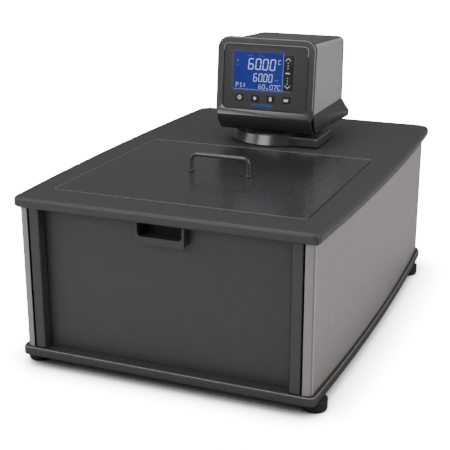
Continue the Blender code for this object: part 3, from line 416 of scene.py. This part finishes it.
def turned(name, profile, location, sides=64, direction="Z"):
    """A (radius, height) profile turned about an axis through location.

    A profile that starts off the axis is joined end to end.
    """
    mesh = bpy.data.meshes.new(name)
    count = len(profile)
    on_axis = profile[0][0] == 0
    if sum(a[0] * b[1] - b[0] * a[1] for a, b in zip(profile, profile[1:] + profile[:1])) > 0:
        profile = profile[::-1]
    edges = [(i, i + 1) for i in range(count - 1)] + ([] if on_axis else [(count - 1, 0)])
    mesh.from_pydata([(r, 0, z) for r, z in profile], edges, [])
    obj = bpy.data.objects.new(name, mesh)
    bpy.context.scene.collection.objects.link(obj)
    screw = obj.modifiers.new("turn", "SCREW")
    screw.steps = sides
    screw.render_steps = sides
    screw.use_merge_vertices = True
    screw.merge_threshold = 0.00001
    obj.location = location
    if direction == "Y":
        obj.rotation_euler = (-math.pi / 2, 0, 0)
    return obj


def arc(cx, cy, radius, start, end, steps):
    """Points on a circle from one angle to another, in degrees."""
    angles = [math.radians(start + (end - start) * i / steps) for i in range(steps + 1)]
    return [(cx + radius * math.cos(a), cy + radius * math.sin(a)) for a in angles]


def rounded(x0, y0, x1, y1, radius, steps):
    """Outline of a rectangle with rounded corners."""
    r = radius
    corners = ((x1 - r, y0 + r, 270), (x1 - r, y1 - r, 0), (x0 + r, y1 - r, 90), (x0 + r, y0 + r, 180))
    return [p for x, y, start in corners for p in arc(x, y, r, start, start + 90, steps)]


def lap_forward(bm):
    """Make the rear cover a cap whose rim laps over the shell's rear edge."""
    low = Vector([min(v.co[i] for v in bm.verts) for i in range(3)])
    high = Vector([max(v.co[i] for v in bm.verts) for i in range(3)])
    middle = (low + high) / 2
    for vertex in bm.verts:
        if vertex.co.y < middle.y:
            vertex.co.y -= REAR_LAP
        if abs(vertex.co.x) > 0.060 or vertex.co.z > high.z - 0.020:
            vertex.co.x += REAR_PROUD * (vertex.co.x - middle.x) / (high.x - middle.x)
            vertex.co.z += REAR_PROUD * (vertex.co.z - middle.z) / (high.z - middle.z)


def fill_chin(bm):
    """Bring the chin's upper band forward, so that it faces up a little before it turns under."""
    for vertex in bm.verts:
        height, depth = vertex.co.z - DECK_Z, vertex.co.y
        if depth < 0.0640:
            for level, forward in CHIN_BANDS:
                if abs(height - level) < 0.0012:
                    vertex.co.y -= forward


def refined(node, width, segments, look):
    """A copy of a CAD node with its sharp edges rounded, which stands for the node."""
    bm = bmesh.new()
    bm.from_mesh(NODES[node].data)
    bmesh.ops.remove_doubles(bm, verts=bm.verts, dist=0.00001)
    bmesh.ops.dissolve_limit(bm, angle_limit=math.radians(0.4), verts=bm.verts, edges=bm.edges)
    if node == "head_rear_cover":
        lap_forward(bm)
    if node == "head_bezel":
        fill_chin(bm)
    obj = bevel(from_bmesh(node + "_finish", bm), width, segments, CAD_BEVEL_ANGLE)
    obj.modifiers["bevel"].use_clamp_overlap = True
    made = settle(obj, CAD_SMOOTH_ANGLE, node not in ("head_cowl", "head_shell"))
    return put(made, look, BODY_OF[node], SLOT_OF[node], node)


def on_face(obj, proud):
    """Place an object made in its XY plane on the leaning face of the head."""
    out = Vector((0, -math.cos(LEAN_ANGLE), math.sin(LEAN_ANGLE)))
    obj.location = Vector((0, FACE_Y, DECK_Z + FACE_Z)) + out * proud
    obj.rotation_euler = (math.pi / 2 - LEAN_ANGLE, 0, 0)
    return obj


def face_piece(name, outlines, low, high, look, body, slot):
    """A thin flat piece on the head's face, between two levels over that face."""
    return put(settle(on_face(prism(name, outlines, low, high), (low + high) / 2)), look, body, slot)


def plan_piece(name, outline, low, high, look, body, slot):
    """A thin piece with an outline in plan, between two heights."""
    return put(settle(prism(name, [outline], low, high)), look, body, slot)


# ---------------------------------------------------------------- display
READOUTS = (  # name, text, left, bottom, width, height, stroke, pitch
    ("readout_main", "60.00", -0.0275, 0.0576, 0.0086, 0.0164, 0.0015, 0.0112),
    ("readout_unit", "C", 0.0192, 0.0670, 0.0042, 0.0064, 0.0008, 0.0050),
    ("readout_second", "60.00", -0.0186, 0.0406, 0.0060, 0.0120, 0.0011, 0.0078),
)
DOT_ROWS = (  # name, text, left, bottom, pitch, cell
    ("readout_small", "60.07C", -0.0101, 0.0303, 0.0059, 0.0010),
    ("readout_line", "P1:", -0.0454, 0.0312, 0.0058, 0.0010),
)
SEGMENTS = {"0": "abcdef", "1": "bc", "6": "acdefg", "7": "abc", "C": "adef", "P": "abefg"}


def bar(x0, y0, x1, y1, half):
    """A segment with pointed ends, from one point to another."""
    a, b = Vector((x0, y0)), Vector((x1, y1))
    d = (b - a).normalized() * half
    n = Vector((-d.y, d.x))
    return [tuple(p) for p in (a, a + d + n, b - d + n, b, b - d - n, a + d - n)]


def glyphs(name, shapes, look):
    """Lit marks lying on the display's window."""
    front = -PANEL_SINK + 0.00002
    return face_piece(name, shapes, front - 0.00006, front, look, "head", "display_module")


def digit(char, x, y, width, height, stroke, slant=0.09):
    """Outlines of one slanted seven-segment character whose lower left corner is at x, y."""
    half = stroke / 2
    x0, x1, y0, y1 = half, width - half, half, height - half
    middle, gap = height / 2, stroke * 0.08
    ends = {"a": (x0, y1, x1, y1), "b": (x1, y1, x1, middle), "c": (x1, middle, x1, y0), "d": (x0, y0, x1, y0),
            "e": (x0, middle, x0, y0), "f": (x0, y1, x0, middle), "g": (x0, middle, x1, middle)}
    shapes = []
    for key in SEGMENTS[char]:
        ax, ay, bx, by = ends[key]
        d = (Vector((bx, by)) - Vector((ax, ay))).normalized() * gap
        outline = bar(ax + d.x, ay + d.y, bx - d.x, by - d.y, half)
        shapes.append([(x + px + slant * py, y + py) for px, py in outline])
    return shapes


def readout(name, text, x, y, width, height, stroke, pitch):
    """A row of seven-segment characters; a full stop sits low in the gap before the next one."""
    shapes = []
    for char in text:
        if char == ".":
            shapes.append(arc(x - (pitch - width) / 2 + 0.0001, y + stroke * 0.45, stroke * 0.42, 0, 330, 11))
        else:
            shapes += digit(char, x, y, width, height, stroke)
            x += pitch
    return glyphs(name, shapes, GLYPH)


DOTS = {
    "P": ("####.", "#...#", "#...#", "####.", "#....", "#....", "#...."),
    "1": ("..#..", ".##..", "..#..", "..#..", "..#..", "..#..", ".###."),
    ":": (".....", ".##..", ".##..", ".....", ".##..", ".##..", "....."),
    "6": ("..##.", ".#...", "#....", "####.", "#...#", "#...#", ".###."),
    "0": (".###.", "#...#", "#...#", "#...#", "#...#", "#...#", ".###."),
    ".": (".....", ".....", ".....", ".....", ".....", ".##..", ".##.."),
    "7": ("#####", "....#", "...#.", "...#.", "..#..", "..#..", "..#.."),
    "C": (".####", "#....", "#....", "#....", "#....", "#....", ".####"),
}


def dot_row(name, text, x, y, pitch, cell):
    """A row of dot-matrix characters, five dots wide and seven high."""
    shapes, side = [], cell * 0.86  # a dot fills most of its cell
    for i, char in enumerate(text):
        for row, line in enumerate(DOTS[char]):
            for column, mark in enumerate(line):
                if mark == "#":
                    x0, y0 = x + i * pitch + column * cell, y + (6 - row) * cell
                    shapes.append([(x0, y0), (x0 + side, y0), (x0 + side, y0 + side), (x0, y0 + side)])
    return glyphs(name, shapes, GLYPH_THIN)


def make_display():
    """Backlit window, its readouts and marks, and a pale painted highlight along its lower and right edges and
    under the strip.
    """
    front = -PANEL_SINK
    inset = 0.0003
    outline = rounded(LCD_X0 + inset, LCD_V0 + inset, LCD_X1 - inset, LCD_V1 - inset, 0.0006, 3)
    window = prism("display_ground", [outline], front - 0.0012, front - 0.00015)
    on_face(window, front - 0.00068)
    put(settle(bevel(window, 0.0002, 2)), LOOKS["display_window"], "head", "display_window", "lcd_window")
    for row in READOUTS:
        readout(*row)
    for row in DOT_ROWS:
        dot_row(*row)
    marks = [rounded(-0.0290, 0.0776, -0.0200, 0.0783, 0.0002, 1),
             rounded(-0.0110, 0.0776, -0.0020, 0.0783, 0.0002, 1),
             rounded(0.0150, 0.0432, 0.0205, 0.0448, 0.0003, 2), arc(-0.0434, 0.0701, 0.0016, 0, 330, 11),
             bar(-0.0462, 0.0620, -0.0438, 0.0638, 0.0003), bar(-0.0438, 0.0638, -0.0416, 0.0634, 0.0003)]
    face_piece("readout_marks", marks, front - 0.00004, front + 0.00001, FAINT, "head", "display_module")
    # painted highlights: pale lines along the display's lower and right edges and under the strip
    below = LCD_V0 - DISPLAY_LINE
    lower = rounded(LCD_X0 - 0.0004, below, LCD_X1 + 0.0002, LCD_V0 + 0.0001, 0.0003, 2)
    right = rounded(LCD_X1 - 0.0001, below, LCD_X1 + DISPLAY_LINE, LCD_V1 + 0.0002, 0.0003, 2)
    under = rounded(LCD_X1 + 0.0009, below, STRIP_X1 - 0.0012, LCD_V0 - 0.0001, 0.0002, 2)
    sunk = front - 0.0006
    face_piece("strip_highlight_low", [under], front - 0.0002, front + 0.00010, PALE_HIGHLIGHT, "head", "head_moulding")
    face_piece("display_highlight_low", [lower], sunk, front + 0.00025, DISPLAY_EDGE_HIGHLIGHT, "head", "display_module")
    face_piece("display_highlight_right", [right], sunk, front + 0.00020, DISPLAY_EDGE_HIGHLIGHT, "head", "display_module")


def chevron(x, y, width, height, stroke):
    """Outline of an arrow head; a negative height points down."""
    half = width / 2
    rise = stroke * 1.25 if height > 0 else -stroke * 1.25
    return [(x - half, y), (x, y + height), (x + half, y), (x + half, y - rise), (x, y + height - rise),
            (x - half, y - rise)]


def make_key_icons():
    """The keys' printed marks, each riding its own key, given a painted glow."""
    top = -PANEL_SINK + KEY_PROUD
    centre = (STRIP_X0 + STRIP_X1) / 2 - 0.0007
    x = [KEY_FIRST_X + i * KEY_PITCH for i in range(4)]
    ring = [arc(x[0], KEY_V, 0.0032, 0, 345, 23), arc(x[0], KEY_V, 0.0020, 0, 345, 23)[::-1]]
    icons = {
        "power": ring + [arc(x[0], KEY_V, 0.0010, 0, 330, 11)],
        "pump": [rounded(x[1] - 0.0022, KEY_V - 0.0022, x[1] + 0.0020, KEY_V + 0.0022, 0.0013, 4)],
        "timer": [rounded(x[2] - 0.0021, KEY_V - 0.0029, x[2] + 0.0017, KEY_V + 0.0029, 0.0010, 3)],
        "menu": [[(x[3] - 0.0038, KEY_V - 0.0020), (x[3] + 0.0020, KEY_V - 0.0020),
                  (x[3] + 0.0034, KEY_V + 0.0018), (x[3] - 0.0038, KEY_V + 0.0018)]],
        "up": [chevron(centre, 0.0737, 0.0082, 0.0040, 0.0011)],
        "down": [chevron(centre, 0.0369, 0.0082, -0.0040, 0.0011)],
        "set": [rounded(centre - 0.0034, 0.0544, centre + 0.0032, 0.0562, 0.0005, 3)],
    }
    for i in range(3):
        icons["up"].append(arc(centre, 0.0702 - i * 0.0040, 0.0008, 0, 330, 11))
        icons["down"].append(arc(centre, 0.0404 + i * 0.0040, 0.0008, 0, 330, 11))
    for key, shapes in icons.items():
        face_piece("icon_" + key, shapes, top - 0.0001, top + 0.00004, ICON_PRINT_AND_GLOW, "button_" + key, "key_black")


def make_badge():
    """Plain blue printed bar under the keys, given a painted glow; nothing is written on it."""
    front = -PANEL_SINK
    outline = rounded(-0.0200, 0.0044, 0.0140, 0.0086, 0.0010, 3)
    face_piece("panel_badge", [outline], front - 0.0002, front + 0.0001, BADGE_PRINT_AND_GLOW, "head", "display_module")


# ---------------------------------------------------------------- finer pieces
def make_handle():
    """Bent-rod handle and the two ferrules at its feet."""
    top, foot = DECK_Z + HANDLE_H, DECK_Z + 0.0003
    corner = HANDLE_X - HANDLE_BEND
    left = arc(-corner, top - HANDLE_BEND, HANDLE_BEND, 180, 90, 14)
    right = arc(corner, top - HANDLE_BEND, HANDLE_BEND, 90, 0, 14)
    curve = bpy.data.curves.new("lid_handle_bar", "CURVE")
    curve.dimensions = "3D"
    curve.bevel_depth = ROD_R
    curve.bevel_resolution = 8
    curve.use_fill_caps = True
    points = [(-HANDLE_X, foot)] + left + right + [(HANDLE_X, foot)]
    spline = curve.splines.new("POLY")
    spline.points.add(len(points) - 1)
    for point, (x, z) in zip(spline.points, points):
        point.co = (x, HANDLE_Y, z, 1)
    bar_piece = settle(curve_mesh("lid_handle_bar", curve), 50)
    put(bar_piece, LOOKS["handle_metal"], "lid_body", "handle_metal", "lid_handle")
    inner, low = ROD_R + 0.0001, DECK_Z + 0.0002
    for side, sign in (("left", -1), ("right", 1)):
        profile = [(inner, low), (0.0041, low), (0.0043, low + 0.0004), (0.0043, low + 0.0014)]
        profile += arc(0.0035, low + 0.0018, 0.0008, 0, 90, 5) + [(inner, low + 0.0028)]
        ferrule = turned("ferrule_" + side, profile, (sign * HANDLE_X, HANDLE_Y, 0), 40)
        put(settle(ferrule), LOOKS["handle_metal"], "lid_body", "handle_metal", "handle_ferrule_" + side)


def make_feet():
    """Round feet with a groove and a rounded tread."""
    for name in [n for n in NODES if n.startswith("foot_")]:
        low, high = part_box(name)
        cx, cy, r = (low.x + high.x) / 2, (low.y + high.y) / 2, (high.x - low.x) / 2
        groove = r - 0.0007
        profile = [(0, high.z), (r - 0.0006, high.z), (r, high.z - 0.0006), (r, high.z - 0.0040),
                   (groove, high.z - 0.0046), (groove, high.z - 0.0056), (r, high.z - 0.0062), (r, 0.0042)]
        profile += arc(r - 0.0040, 0.0040, 0.0040, 0, -80, 6) + [(0.006, 0), (0.005, 0.001), (0, 0.001)]
        foot = turned(name + "_pad", profile, (cx, cy, 0), 48)
        put(settle(foot, TURNED_SMOOTH_ANGLE), LOOKS["rubber_foot"], "bath", "rubber_foot", name)


def make_screws():
    """Screws with a cross recess on the rear panel and the rear of the head."""
    spots = [(x, 0.2765, z, "bath") for x in (-0.155, 0.152) for z in (0.045, 0.205)]
    spots += [(x, 0.2105, z, "head") for x in (-0.066, 0.066) for z in (0.2935, 0.3600)]
    r, a, b = SCREW_R, CROSS_HALF, CROSS_ARM
    cross = [(-b, -a), (-a, -a), (-a, -b), (a, -b), (a, -a), (b, -a),
             (b, a), (a, a), (a, b), (-a, b), (-a, a), (-b, a)]
    profile = [(0, 0.0012), (r * 0.55, 0.0012), (r, 0.0004), (r, 0.0001), (0, 0.0001)]
    for i, (x, y, z, body) in enumerate(spots):
        head = settle(turned(f"screw_{i}", profile, (0, 0, 0), 24), TURNED_SMOOTH_ANGLE)
        cutter = settle(prism("cross", [cross], 0.0007, 0.002))
        boolean = head.modifiers.new("cross", "BOOLEAN")
        boolean.operation = "DIFFERENCE"
        boolean.object = cutter
        head.location = (x, y, z)
        head.rotation_euler = (-math.pi / 2, 0.4 * i, 0)
        cutter.matrix_world = Matrix.Translation((x, y, z)) @ head.rotation_euler.to_matrix().to_4x4()
        made = settle(head, TURNED_SMOOTH_ANGLE)
        bpy.data.objects.remove(cutter, do_unlink=True)
        put(made, SCREW, body, "stainless")


def lid_path(inset):
    """Plan of the lid's edge round the rear, the left side and the front, where the painted highlight lies;
    the right side stays dark.
    """
    x, y0, y1, r = LID_X - LID_R, LID_Y0 + LID_R, LID_Y1 - LID_R, LID_R - inset
    return (arc(x, y1, r, 25, 90, 6) + arc(-x, y1, r, 90, 180, 8)
            + arc(-x, y0, r, 180, 270, 8) + arc(x, y0, r, 270, 335, 6))


def tray_path(inset):
    """Plan of the tray's top edge, from the left side's rear round the front to the right side's rear."""
    y0, y1 = TRAY_R - TRAY_HALF_Y, TRAY_HALF_Y - 0.026

    def side(y):
        return TRAY_HALF_X + TRAY_BOW * (1 - (y / TRAY_HALF_Y) ** 2) - inset
    right = arc(side(y0) + inset - TRAY_R, y0, TRAY_R - inset, -90, 0, 6)
    right += [(side(y0 + (y1 - y0) * i / 14), y0 + (y1 - y0) * i / 14) for i in range(1, 15)]
    return [(LOWER_X - x, y) for x, y in right[::-1]] + [(LOWER_X + x, y) for x, y in right]


def fold(corner, start, end, sign, shift):
    """Plan of a thin strip lying on a rounded corner; the angles are the right-hand corner's."""
    x, y, radius = corner
    outline = arc(x, y, radius + FOLD_PROUD, start, end, 3) + arc(x, y, radius - FOLD_SUNK, end, start, 3)
    return [(sign * x + shift, y) for x, y in outline]


def make_lid_lines():
    """The lid's rim with a painted highlight, a painted shadow along its right edge and painted shadows in the
    gaps along its sides.
    """
    rim = prism("lid_rim_highlight", [lid_path(0.0) + lid_path(RIM_WIDTH)[::-1]], DECK_Z - 0.0016, DECK_Z + 0.0002)
    put(settle(bevel(rim, 0.0002, 2)), PALE_HIGHLIGHT, "lid_body", "lid_metal")
    # painted shadow along the lid's right edge and in the gaps beside it
    low = DECK_Z - 0.0015
    dark = rounded(LID_X - 0.0007, LID_Y0 + 0.010, LID_X, LID_Y1 - 0.010, 0.0002, 1)
    plan_piece("lid_shadow_right", dark, low, DECK_Z + 0.00008, SEAM_AND_SHADOW_LINE, "lid_body", "lid_metal")
    for side, sign in (("left", -1), ("right", 1)):
        x = sorted((sign * (LID_X + 0.00005), sign * (LID_X + 0.00135)))
        gap = rounded(x[0], LID_Y0 + 0.006, x[1], LID_Y1 - 0.006, 0.0003, 2)
        plan_piece("lid_gap_shadow_" + side, gap, low, DECK_Z + 0.00006, SEAM_AND_SHADOW_LINE, "bath", "charcoal_moulding")


def make_side_lines():
    """Painted shade and a painted highlight on the folds of the side panels, the seams of the cover's front
    corners, and a painted highlight on the tray's top edge.
    """
    for side, sign in (("left", -1), ("right", 1)):
        low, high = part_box("side_panel_" + side)
        # a painted highlight and a band of painted shade along each rounded front corner
        for name, start, end, look in (("crease", -19, -9, SIDE_PAINTED_HIGHLIGHT), ("shade", -46, -19.5, SIDE_PAINTED_SHADE)):
            plan_piece(f"side_{name}_{side}", fold(SIDE_CORNER, start, end, sign, LOWER_X),
                       low.z + 0.0004, high.z - 0.0004, look, "bath", "side_metal")
        plan_piece("cover_seam_" + side, fold(COVER_CORNER, -54, -46, sign, 0),
                   COVER_LIP_Z + 0.0008, DECK_Z - 0.0045, SEAM_AND_SHADOW_LINE, "bath", "charcoal_moulding")
    # painted highlight along the tray's top edge
    plan_piece("tray_highlight", tray_path(0.0011) + tray_path(0.0019)[::-1],
               TRAY_Z1 - 0.0010, TRAY_Z1 + 0.0001, BRIGHT_HIGHLIGHT, "bath", "charcoal_moulding")


def make_front_lines():
    """Painted shadows: dark lines beside and on the front posts, and dark sheets on the backs of the grips."""
    low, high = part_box("front_panel")
    low, high = low.z + 0.0005, high.z - 0.0005
    for side, sign in (("left", -1), ("right", 1)):
        x = POST_X0 * sign + LOWER_X
        # painted shadow at the post's inner foot and along its edge
        foot = rounded(x - 0.0006, FRONT_PANEL_Y - 0.0010, x + 0.0006, FRONT_PANEL_Y + 0.0002, 0.0002, 2)
        plan_piece("post_foot_shadow_" + side, foot, low, high, SEAM_AND_SHADOW_LINE, "bath", "front_metal")
        x = sorted((x + sign * 0.0001, x + sign * 0.0009))
        edge = rounded(x[0], POST_Y0 - 0.00012, x[1], POST_Y0 + 0.0002, 0.0001, 1)
        plan_piece("post_shadow_line_" + side, edge, low, high, SEAM_AND_SHADOW_LINE, "bath", "front_metal")
    # dark sheet on the grip pocket's rear wall, painted shadow
    for end, sign in (("front", -1), ("rear", 1)):
        y = sorted((sign * GRIP_BACK_Y, sign * (GRIP_BACK_Y + 0.0004)))
        back = rounded(LOWER_X - GRIP_HALF, y[0], LOWER_X + GRIP_HALF, y[1], 0.0001, 1)
        plan_piece("grip_shadow_" + end, back, GRIP_Z0, GRIP_Z1, SEAM_AND_SHADOW_LINE, "bath", "charcoal_moulding")


def face_line(name, x, top, r, feet, steps, proud):
    """A painted highlight: a pale line up the right side of the head's face, over two rounded corners and down
    the left side.
    """
    def route(inset):
        return ([(x - inset, feet[0])] + arc(x - r, top - r, r - inset, 0, 90, steps)
                + arc(r - x, top - r, r - inset, 90, 180, steps) + [(inset - x, feet[1])])
    outline = route(0.0) + route(FACE_LINE_WIDTH)[::-1]
    face_piece(name, [outline], FACE_LINE_SUNK, proud, BRIGHT_HIGHLIGHT, "head", "head_moulding")


def make_face_lines():
    """Painted highlights on the edges of the bezel and of its recess, and painted shadow along the recess's
    right and lower edges.
    """
    face_line("bezel_highlight", HEAD_X - 0.0010, HEAD_RISE - 0.0010, BEZEL_R - 0.0010, (0.004, 0.030), 12, 0.00008)
    face_line("recess_highlight", PANEL_X + 0.0010, PANEL_V1 + 0.0010, PANEL_R, (0.080, 0.084), 8, 0.00006)
    # painted shadow along the recess's right and lower edges
    dark = [rounded(PANEL_X + 0.0002, 0.0040, PANEL_X + 0.0019, 0.0835, 0.0006, 2),
            rounded(-0.0600, -0.0010, 0.0600, -0.0004, 0.0002, 1)]
    face_piece("recess_shadow", dark, FACE_LINE_SUNK, 0.00005, SEAM_AND_SHADOW_LINE, "head", "head_moulding")


# Bevel width and segments of the CAD nodes whose edges are rounded; the others are shown as they are
EDGES = {
    "base_tray": (0.0007, 3), "top_cover": (0.0006, 3), "lid": (0.0007, 3),
    "side_panel_left": (0.0004, 2), "side_panel_right": (0.0004, 2),
    "front_panel": (0.0004, 2), "rear_panel": (0.0003, 1),
    "front_grip": (0.0012, 4), "rear_grip": (0.0012, 4), "swivel_base": (0.0010, 4),
    "head_bezel": (0.0009, 3), "head_shell": (0.0006, 3),
    "head_side_left": (0.0004, 2), "head_side_right": (0.0004, 2),
    "head_cowl": (0.0010, 3), "head_rear_cover": (0.0006, 3), "control_panel": (0.0004, 3),
    "power_inlet": (0.0004, 2), "breaker_housing": (0.0005, 2), "breaker_rocker": (0.0006, 3),
    "data_port": (0.0003, 2), "drain_fitting": (0.0004, 2), "drain_handle": (0.0005, 2),
    "port_outlet": (0.0004, 2), "port_return": (0.0004, 2),
    **{"key_" + key: (0.0003, 3) for key in ("power", "pump", "timer", "menu", "up", "set", "down")},
    "reservoir_tank": (0.0005, 2), "impeller": (0.0005, 2), "pump_motor": (0.0008, 2),
    "level_float": (0.0010, 3),
}


# own looks; the cowl's is a darker copy of the head moulding, painted shade
OWN_LOOKS = {"control_panel": PANEL, "head_rear_cover": REAR_BLACK, "base_tray": TRAY, "head_cowl": COWL_SHADED}


def make_finishes():
    """Rounded copies of the CAD nodes in EDGES, and looks for the other nodes."""
    for node, (width, segments) in EDGES.items():
        refined(node, width, segments, OWN_LOOKS.get(node, LOOKS[SLOT_OF[node]]))
    for node, obj in NODES.items():
        if node not in EDGES:
            obj.data.materials.clear()
            obj.data.materials.append(LOOKS[SLOT_OF[node]])
            shaded(obj, CAD_SMOOTH_ANGLE)


# ---------------------------------------------------------------- stage
def area(name, place, target, size, watts):
    """A rectangular lamp at a place, turned to a target."""
    light = bpy.data.lights.new(name, "AREA")
    light.shape = "RECTANGLE"
    light.size, light.size_y = size
    light.energy = watts
    obj = bpy.data.objects.new(name, light)
    bpy.context.scene.collection.objects.link(obj)
    obj.location = place
    obj.rotation_euler = (Vector(target) - Vector(place)).to_track_quat("-Z", "Y").to_euler()


def floor_look():
    """Pale floor, bright to the camera and plain to everything else, with a painted contact shadow: darker
    where it is closed in.
    """
    material = bpy.data.materials.new("floor_look")
    material.use_nodes = True
    nodes, links = material.node_tree.nodes, material.node_tree.links
    nodes.clear()
    closed = nodes.new("ShaderNodeAmbientOcclusion")
    closed.inputs["Distance"].default_value = CLOSED_REACH
    closed.samples = 16
    seen = camera_ray(nodes)
    # painted contact shadow: the floor darkens where ambient occlusion finds it closed in
    openness = worked_out(nodes, links, "POWER", closed.outputs["AO"], CLOSED_POWER)
    gain = worked_out(nodes, links, "MULTIPLY_ADD", seen, FLOOR_GAIN - FLOOR_ALBEDO, FLOOR_ALBEDO)
    diffuse = nodes.new("ShaderNodeBsdfDiffuse")
    links.new(worked_out(nodes, links, "MULTIPLY", openness, gain), diffuse.inputs["Color"])
    lit_part = worked_out(nodes, links, "MULTIPLY", seen, openness)
    emission = nodes.new("ShaderNodeEmission")
    links.new(worked_out(nodes, links, "MULTIPLY", lit_part, FLOOR_GLOW), emission.inputs["Strength"])
    both = nodes.new("ShaderNodeAddShader")
    links.new(diffuse.outputs["BSDF"], both.inputs[0])
    links.new(emission.outputs["Emission"], both.inputs[1])
    output = nodes.new("ShaderNodeOutputMaterial")
    links.new(both.outputs["Shader"], output.inputs["Surface"])
    return material


def studio_world():
    """White to the camera; a dim studio, lighter overhead and behind, to everything else."""
    world = bpy.data.worlds.new("studio")
    world.use_nodes = True
    nodes, links = world.node_tree.nodes, world.node_tree.links
    nodes.clear()
    split = nodes.new("ShaderNodeSeparateXYZ")
    links.new(nodes.new("ShaderNodeTexCoord").outputs["Generated"], split.inputs["Vector"])
    horizon = ranged(nodes, links, split.outputs["Y"], -0.2, 0.6, WORLD_LOW, WORLD_BEHIND)
    dim = nodes.new("ShaderNodeBackground")
    links.new(ranged(nodes, links, split.outputs["Z"], 0.25, 0.80, horizon, WORLD_HIGH, "SMOOTHSTEP"),
              dim.inputs["Strength"])
    white = nodes.new("ShaderNodeBackground")
    white.inputs["Strength"].default_value = WORLD_WHITE
    mix = nodes.new("ShaderNodeMixShader")
    links.new(camera_ray(nodes), mix.inputs["Fac"])
    links.new(dim.outputs["Background"], mix.inputs[1])
    links.new(white.outputs["Background"], mix.inputs[2])
    output = nodes.new("ShaderNodeOutputWorld")
    links.new(mix.outputs["Shader"], output.inputs["Surface"])
    return world


def make_stage():
    """Floor, surroundings and lamps."""
    bm = bmesh.new()
    bmesh.ops.create_grid(bm, x_segments=2, y_segments=2, size=6.0)
    floor = from_bmesh("floor", bm)
    floor.data.materials.append(floor_look())
    bpy.context.scene.world = studio_world()
    for lamp in LIGHTS:
        area(*lamp)


def make_camera():
    """A long lens at the front right, looking down."""
    data = bpy.data.cameras.new("camera")
    data.lens = LENS_MM
    data.sensor_width = SENSOR_MM
    data.clip_end = 50
    camera = bpy.data.objects.new("camera", data)
    bpy.context.scene.collection.objects.link(camera)
    camera.location = CAMERA_PLACE
    camera.rotation_euler = (math.radians(90 - CAMERA_DOWN), 0, math.radians(CAMERA_TURN))
    bpy.context.scene.camera = camera


make_finishes()
make_handle()
make_feet()
make_lid_lines()
make_side_lines()
make_front_lines()
make_face_lines()
make_display()
make_key_icons()
make_badge()
make_screws()
make_stage()
make_camera()
